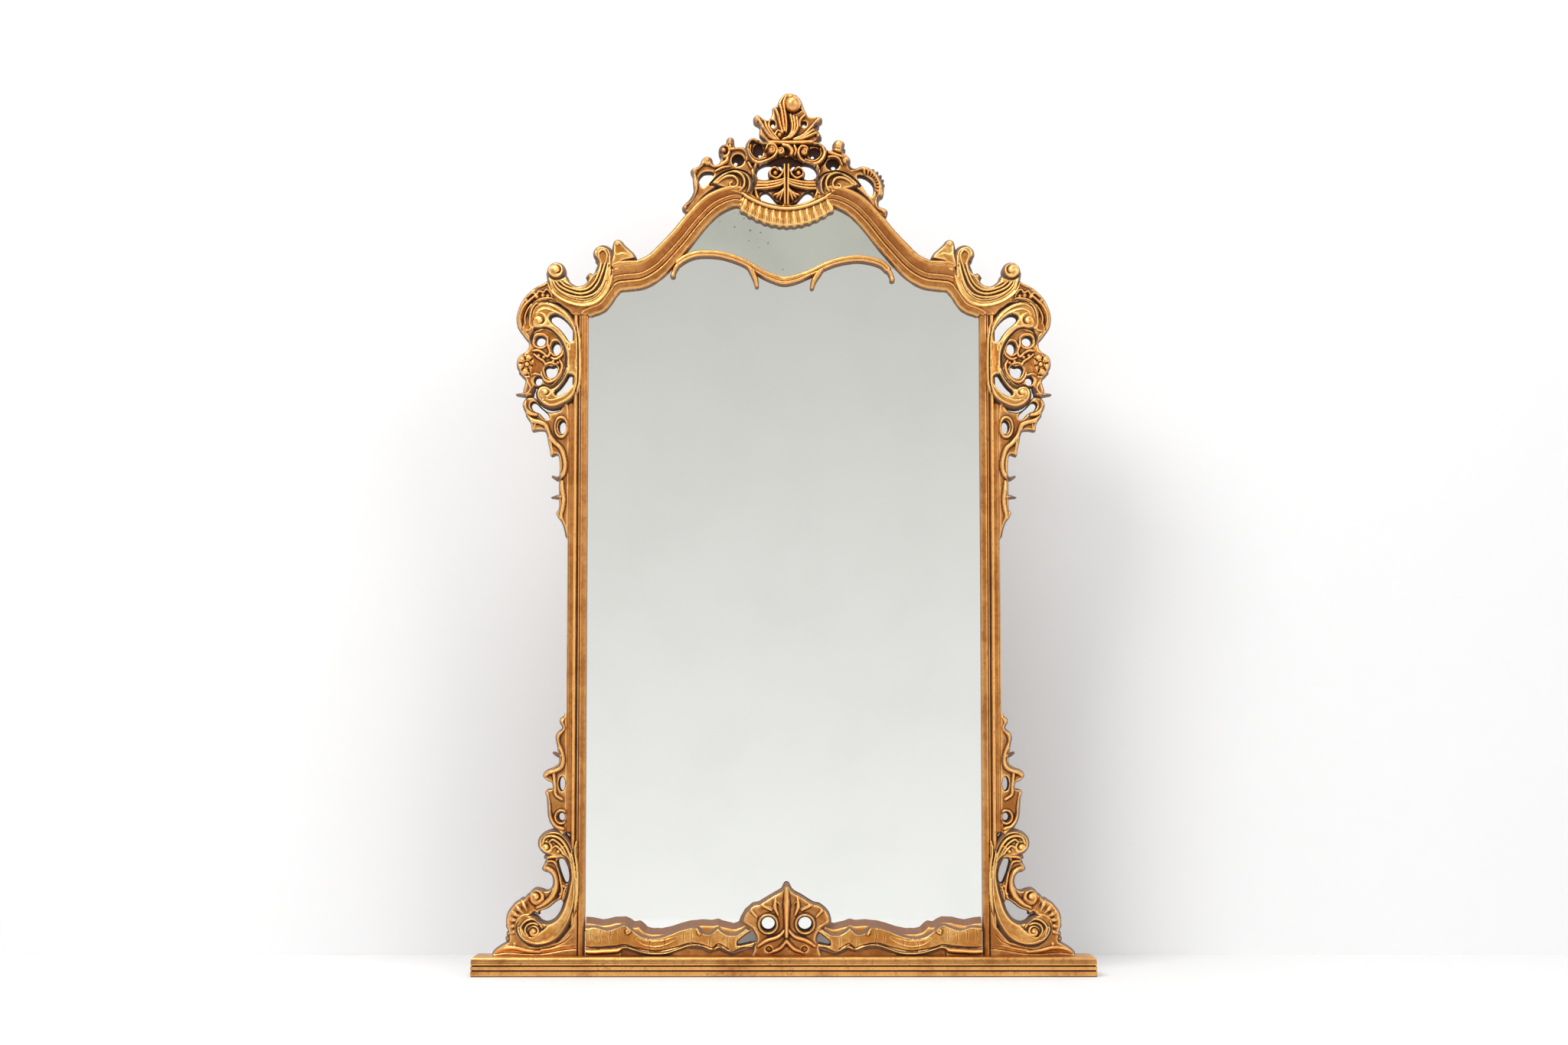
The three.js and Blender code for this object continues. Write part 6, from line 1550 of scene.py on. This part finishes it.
def woodTree():
    tree, get = newGroup("wood grain", "ShaderNodeTree", {
        "Place": "Vector", "Light": (0.36, 0.2, 0.1, 1), "Dark": (0.12, 0.055, 0.025, 1),
        "Board Width": 9.0}, {"Colour": "Color", "Height": "Float", "Roughness": "Float"})
    place = get("Place")
    stretched = addNode(tree, "ShaderNodeMapping", {"Scale": (16, 16, 0.9), "Vector": place})
    rings = noise(Value(stretched), 3.2, 5, 0.8)
    across = Value(addNode(tree, "ShaderNodeSeparateXYZ", {0: place}), "X") * get("Board Width")
    tone = addNode(tree, "ShaderNodeTexWhiteNoise", {"W": mathNode("FLOOR", across)},
                   noise_dimensions="1D")
    fromMiddle = mathNode("ABSOLUTE", mathNode("FRACT", across) - 0.5)
    joint = between(fromMiddle, 0.49, 0.497)
    lines = between(rings + Value(tone, "Value") * 0.25, 0.42, 0.82)
    colour = blend(lines, get("Light"), get("Dark"))
    stain = between(noise(place, 5), 0.45, 0.75)
    colour = blend(stain * 0.4, colour, get("Dark"))
    colour = blend(joint, colour, (0.012, 0.007, 0.004, 1))
    addNode(tree, "NodeGroupOutput", {
        "Colour": colour, "Height": rings * 0.3 - joint, "Roughness": 0.66 + rings * 0.2})
    return tree


def silverTree():
    # old mirror: faint veil, and small specks where the silver has gone
    tree, get = newGroup("silvering", "ShaderNodeTree", {
        "Place": "Vector", "Clear": (0.8, 0.82, 0.79, 1), "Spots": 0.2, "Veil": 0.2,
    }, {"Colour": "Color", "Roughness": "Float"})
    cloud = noise(get("Place"), 6, 4)
    cells = addNode(tree, "ShaderNodeTexVoronoi", {"Vector": get("Place"), "Scale": 75})
    speck = mathNode("LESS_THAN", Value(cells, "Distance"),
                     between(cloud, 0.4, 0.75) * get("Spots"))
    veil = between(cloud, 0.35, 0.8) * get("Veil")
    colour = blend(veil, get("Clear"), (0.5, 0.52, 0.47, 1))
    colour = blend(speck * 0.55, colour, (0.1, 0.1, 0.08, 1))
    addNode(tree, "NodeGroupOutput", {"Colour": colour, "Roughness": veil * 0.18 + 0.025})
    return tree


def coated(material, node):
    piece = bpy.data.objects.get(node)
    piece.data.materials.clear()
    piece.data.materials.append(material)


silver = silverTree()
glasses = {
    "glass_main": {"Clear": (0.8, 0.81, 0.79, 1), "Spots": 0.05, "Veil": 0.12},
    "glass_upper": {"Clear": (0.73, 0.755, 0.69, 1), "Spots": 0.22, "Veil": 0.5},
}
for node, look in glasses.items():
    material, surface, place = startMaterial(node)
    useGroup(surface, silver, {"Place": place, **look})
    surface.inputs["Metallic"].default_value = 1
    coated(material, node)
material, surface, place = startMaterial("back_wood")
wood = useGroup(surface, woodTree(), {"Place": place})
bumped(surface, Value(wood, "Height"), 0.6, 0.0012)
coated(material, "backboard")


def metalMaterial(name, clean, dull, rough):
    material, surface, place = startMaterial(name)
    cloud = noise(place, 60, 4)
    put(blend(between(cloud, 0.4, 0.7), (*clean, 1), (*dull, 1)), surface.inputs["Base Color"])
    put(cloud * 0.3 + rough, surface.inputs["Roughness"])
    surface.inputs["Metallic"].default_value = 1
    bumped(surface, cloud, 0.3, 0.0003)
    return material


steel = metalMaterial("zinc_steel", (0.42, 0.4, 0.36), (0.2, 0.17, 0.14), 0.28)
brass = metalMaterial("button_brass", (0.58, 0.38, 0.13), (0.25, 0.15, 0.06), 0.24)


# Hardware on the back

hardware = {
    "plateFront": 28.3, "strapX": 337.5, "strapLow": 800, "strapWidth": 17, "strapLength": 30,
    "strapThickness": 2, "barrelRadius": 3, "barrelLength": 11, "barrelY": 32.5,
    "ringHalf": 10.5, "ringDrop": 17, "wire": 1.4,
    "buttonX": 333, "buttonHeights": (300, 640, 900), "buttonReach": 27, "buttonTail": 8,
    "buttonWidth": 13, "buttonThickness": 2.5, "screwRise": (6, 20),
    "headRadius": 3.3, "headHeight": 1.4, "screwSeat": 0.3, "ringBend": 3,
}


def plate(outline, thickness, bevel):  # a rounded plate lying on y = 0, its front at -y side
    shape = bmesh.new()
    face = shape.faces.new([shape.verts.new((x, 0, z)) for x, z in outline])
    made = bmesh.ops.extrude_face_region(shape, geom=[face])
    bmesh.ops.translate(shape, vec=(0, thickness, 0),
                        verts=[v for v in made["geom"] if isinstance(v, bmesh.types.BMVert)])
    bmesh.ops.recalc_face_normals(shape, faces=shape.faces)
    outer = [e for e in shape.edges if all(abs(v.co.y - thickness) < 1e-6 for v in e.verts)]
    bmesh.ops.bevel(shape, geom=outer, offset=bevel, segments=2, profile=0.6, affect="EDGES")
    return shape


def circle(radius, sides):
    angles = [2 * math.pi * i / sides for i in range(sides)]
    return [(radius * math.cos(a), radius * math.sin(a)) for a in angles]


def skin(shape, rings):  # four-sided faces from each ring of points to the next
    for a, b in zip(rings, rings[1:]):
        for i, k in enumerate([*range(1, len(a)), 0]):
            shape.faces.new((a[i], b[i], b[k], a[k]))


def addTube(shape, radius, length, middle, sides=24):  # a rod along X with rounded ends
    rings = []
    for x, r in ((-length / 2, radius * 0.82), (-length / 2 + 0.5, radius),
                 (length / 2 - 0.5, radius), (length / 2, radius * 0.82)):
        rings.append([shape.verts.new((middle[0] + x, middle[1] + y, middle[2] + z))
                      for y, z in circle(r, sides)])
    skin(shape, rings)
    shape.faces.new(rings[0])
    shape.faces.new(rings[-1][::-1])


def pieceFrom(shape, name, material, at=(0, 0, 0), smoothAngle=35):
    shape.normal_update()
    bmesh.ops.recalc_face_normals(shape, faces=shape.faces)
    mesh = bpy.data.meshes.new(name)
    shape.to_mesh(mesh)
    shape.free()
    at = [v * millimetre for v in at]
    mesh.transform(Matrix.Translation(at) @ Matrix.Scale(millimetre, 4))
    mesh.materials.append(material)
    mesh.set_sharp_from_angle(angle=math.radians(smoothAngle))
    return placed(name, mesh)


def buttonOutline():
    half = hardware["buttonWidth"] / 2
    outline = []
    for middle, first in ((half - hardware["buttonTail"], math.pi / 2),
                          (hardware["buttonReach"] - half, -math.pi / 2)):
        outline += [(middle + half * math.cos(first + math.pi * i / 14),
                     half * math.sin(first + math.pi * i / 14)) for i in range(15)]
    return outline


def strapShape():
    half, length = hardware["strapWidth"] / 2, hardware["strapLength"]
    side = [(half, 3), (half, length - 6), (half - 1.2, length - 4), (5.5, length - 1)]
    foot = [(-half, 3), (-half + 1, 1), (-half + 3, 0), (half - 3, 0), (half - 1, 1)]
    shape = plate([*foot, *side, *flipped(side[:0:-1])], hardware["strapThickness"], 0.5)
    addTube(shape, hardware["barrelRadius"], hardware["barrelLength"],
            (0, hardware["barrelY"] - hardware["plateFront"], length))
    return shape


def ringShape():
    # the wire's middle line: straight through the barrel, then round and down
    w, drop, bend = hardware["ringHalf"], hardware["ringDrop"], hardware["ringBend"]
    line = [(x, 0) for x in np.linspace(0, w - bend, 5)]
    line += [(w - bend + bend * math.sin(a), -bend + bend * math.cos(a))
             for a in np.linspace(0.3, math.pi / 2, 5)]
    for t in np.linspace(0.06, 0.94, 19):
        a, b, c, d = (1 - t)**3, 3 * t * (1 - t)**2, 3 * t * t * (1 - t), t**3
        top, low = -drop + w, -drop - 3
        line.append((w * a + w * b - w * c - w * d, top * a + low * b + low * c + top * d))
    line += flipped(line[9:0:-1])
    rows = np.array(line)
    ahead = np.roll(rows, -1, 0) - np.roll(rows, 1, 0)
    ahead /= np.hypot(ahead[:, 0], ahead[:, 1])[:, None]
    shape = bmesh.new()
    rings = [[shape.verts.new((x - az * out, up, z + ax * out))
              for out, up in circle(hardware["wire"], 12)]
             for (x, z), (ax, az) in zip(rows, ahead)]
    skin(shape, rings + rings[:1])
    return shape


def headShape():  # a countersunk head lying on y = 0, with a slot
    radius, tall, sides = hardware["headRadius"], hardware["headHeight"], 20
    shape = bmesh.new()
    rings = [[shape.verts.new((x, y, z)) for x, z in circle(r, sides)] for y, r in (
        (0, radius), (0.35, radius), (tall - 0.2, radius * 0.8), (tall, radius * 0.66))]
    skin(shape, rings)
    shape.faces.new(rings[0])
    slot = [shape.verts.new((x, tall, z)) for x, z in ((-1.7, -0.4), (1.7, -0.4), (1.7, 0.4),
                                                       (-1.7, 0.4))]
    floor = [shape.verts.new((v.co.x, tall - 0.8, v.co.z)) for v in slot]
    top = rings[-1]
    corners = (12, 18, 2, 8)  # the rim points nearest the corners of the slot
    for k, after in ((0, 1), (1, 2), (2, 3), (3, 0)):
        a, b = corners[k], corners[after]
        run = [top[(a + i) % sides] for i in range((b - a) % sides + 1)]
        shape.faces.new([*run[::-1], slot[k], slot[after]])
        shape.faces.new((slot[k], slot[after], floor[after], floor[k]))
    shape.faces.new(floor)
    return shape


def scatterTree():
    tree, get = newGroup("set out", "GeometryNodeTree", {
        "Points": "Geometry", "Shape": "Object", "Turn": 1.0, "Seed": 4,
        "Material": "Material"}, {"Mesh": "Geometry"})
    shape = addNode(tree, "GeometryNodeObjectInfo", {"Object": get("Shape")})
    turned = addNode(tree, "FunctionNodeRandomValue", {
        "Min": 0, "Max": get("Turn"), "Seed": get("Seed")}, data_type="FLOAT")
    angles = addNode(tree, "ShaderNodeCombineXYZ", {"Y": Value(turned, 1)})
    screws = addNode(tree, "GeometryNodeInstanceOnPoints", {
        "Points": get("Points"), "Instance": Value(shape, "Geometry"), "Rotation": angles})
    return finishGroup(tree, screws, get("Material"))


scatter = scatterTree()
head = pieceFrom(headShape(), "screw head", steel)
screwY = hardware["plateFront"] + hardware["screwSeat"]
screws = {"strap": [], "button": []}
for sign, side in ((-1, "left"), (1, "right")):
    x, low = sign * hardware["strapX"], hardware["strapLow"] + lift
    strap = pieceFrom(strapShape(), "strap_" + side, steel, (x, hardware["plateFront"], low))
    ride(strap, "zinc_steel", "hanger_strap_" + side)
    ring = pieceFrom(ringShape(), "ring_" + side, steel,
                     (x, hardware["barrelY"], low + hardware["strapLength"]))
    ride(ring, "zinc_steel", "d_ring_" + side, body=side + "_ring")
    screws["strap"] += [(x, screwY + hardware["strapThickness"], low + rise)
                        for rise in hardware["screwRise"]]
    x = sign * hardware["buttonX"]
    for k, z in enumerate(hardware["buttonHeights"], 1):
        shape = plate([(-sign * a, b) for a, b in buttonOutline()],
                      hardware["buttonThickness"], 0.6)
        button = pieceFrom(shape, f"button_{side}_{k}", brass,
                           (x, hardware["plateFront"], z + lift))
        ride(button, "button_brass", f"turn_button_{side}_{k}", body=f"{side}_button_{k}")
        screws["button"].append((x, screwY + hardware["buttonThickness"], z + lift))
for kind, spots in screws.items():
    mesh = bpy.data.meshes.new(kind + "_screws")
    mesh.from_pydata([tuple(v * millimetre for v in spot) for spot in spots], [], [])
    made = grown(kind + "_screws", mesh, scatter, Shape=head, Turn=3.0, Seed=6, Material=steel)
    ride(made, "zinc_steel", *[f"{kind}_screw_{side}_{k + 1}" for side in ("left", "right")
                               for k in range(len(spots) // 2)])
bpy.data.objects.remove(head)
print("hardware made")


# Stage: floor and wall, both near white, and the light

def plainSurface(name, colour, rough):
    material, surface, place = startMaterial(name)
    shade = blend(noise(place, 3, 4), (*[v * 0.985 for v in colour], 1), (*colour, 1))
    put(shade, surface.inputs["Base Color"])
    surface.inputs["Roughness"].default_value = rough
    # a sheet of the stage shows from its own side alone, so a view from behind looks past it
    tree = material.node_tree
    either = addNode(tree, "ShaderNodeMixShader", {
        0: Value(addNode(tree, "ShaderNodeNewGeometry"), "Backfacing"), 1: surface,
        2: addNode(tree, "ShaderNodeBsdfTransparent")})
    end = next(node for node in tree.nodes if node.type == "OUTPUT_MATERIAL")
    put(either, end.inputs[0])
    return material


def sheet(name, corners, material):
    mesh = bpy.data.meshes.new(name)
    mesh.from_pydata(corners, [], [range(len(corners))])
    mesh.materials.append(material)
    return placed(name, mesh)


stageSet = {"wallBehind": 0.37, "half": 7, "front": -1.2, "tall": 5}
white = plainSurface("stage_white", (0.86, 0.86, 0.86), 0.8)
half, wallY = stageSet["half"], stageSet["wallBehind"]
floor = sheet("floor", [(-half, stageSet["front"], 0), (half, stageSet["front"], 0),
                        (half, wallY, 0), (-half, wallY, 0)], white)
wall = sheet("wall", [(-half, wallY, 0), (half, wallY, 0), (half, wallY, stageSet["tall"]),
                      (-half, wallY, stageSet["tall"])], white)

# The world: even light, a white background, and for mirrors a room that is darker overhead
worldSet = {"light": 0.55, "roomStrength": 1.15}
roomTones = [(0, (0.3, 0.29, 0.27)), (0.46, (0.98, 0.98, 0.97)), (0.61, (0.54, 0.53, 0.5)),
             (0.68, (0.3, 0.28, 0.25)), (1, (0.24, 0.22, 0.2))]  # share of the way up, tone
world = bpy.data.worlds.new("world")
world.use_nodes = True
scene.world = world
tree = world.node_tree
tree.nodes.clear()
seen = addNode(tree, "ShaderNodeLightPath")
way = addNode(tree, "ShaderNodeSeparateXYZ", {
    0: Value(addNode(tree, "ShaderNodeTexCoord"), "Generated")})
rise = addNode(tree, "ShaderNodeMapRange", {"Value": Value(way, "Z"), "From Min": -1})
room = addNode(tree, "ShaderNodeValToRGB", {"Fac": Value(rise, "Result")})
while len(room.color_ramp.elements) < len(roomTones):
    room.color_ramp.elements.new(0.5)
for element, (rise, tone) in zip(room.color_ramp.elements, roomTones):
    element.position = rise
    element.color = (*tone, 1)
ambient, mirrorRoom, shown = (addNode(tree, "ShaderNodeBackground", {
    "Color": colour, "Strength": strength}) for colour, strength in (
        ((1, 1, 1, 1), worldSet["light"]), (Value(room, "Color"), worldSet["roomStrength"]),
        ((1, 1, 1, 1), 1)))
first = addNode(tree, "ShaderNodeMixShader", {
    0: Value(seen, "Is Glossy Ray"), 1: ambient, 2: mirrorRoom})
second = addNode(tree, "ShaderNodeMixShader", {
    0: Value(seen, "Is Camera Ray"), 1: first, 2: shown})
addNode(tree, "ShaderNodeOutputWorld", {0: second})


def lamp(name, at, toward, power, size):
    data = bpy.data.lights.new(name, "AREA")
    data.energy = power
    data.shape = "RECTANGLE"
    data.size, data.size_y = size
    made = placed(name, data)
    made.location = at
    made.rotation_euler = (Vector(toward) - Vector(at)).to_track_quat("-Z", "Y").to_euler()


lamp("key", (-1.6, -2.6, 3.2), (0, 0, 0.8), 75, (1.6, 1.2))
lamp("fill", (2.4, -3.0, 2.2), (0, 0, 0.7), 32, (1.8, 1.8))
lamp("over", (0, -1.2, 3.4), (0, 0.1, 0.7), 30, (2.4, 0.9))
print("stage and lamps made")
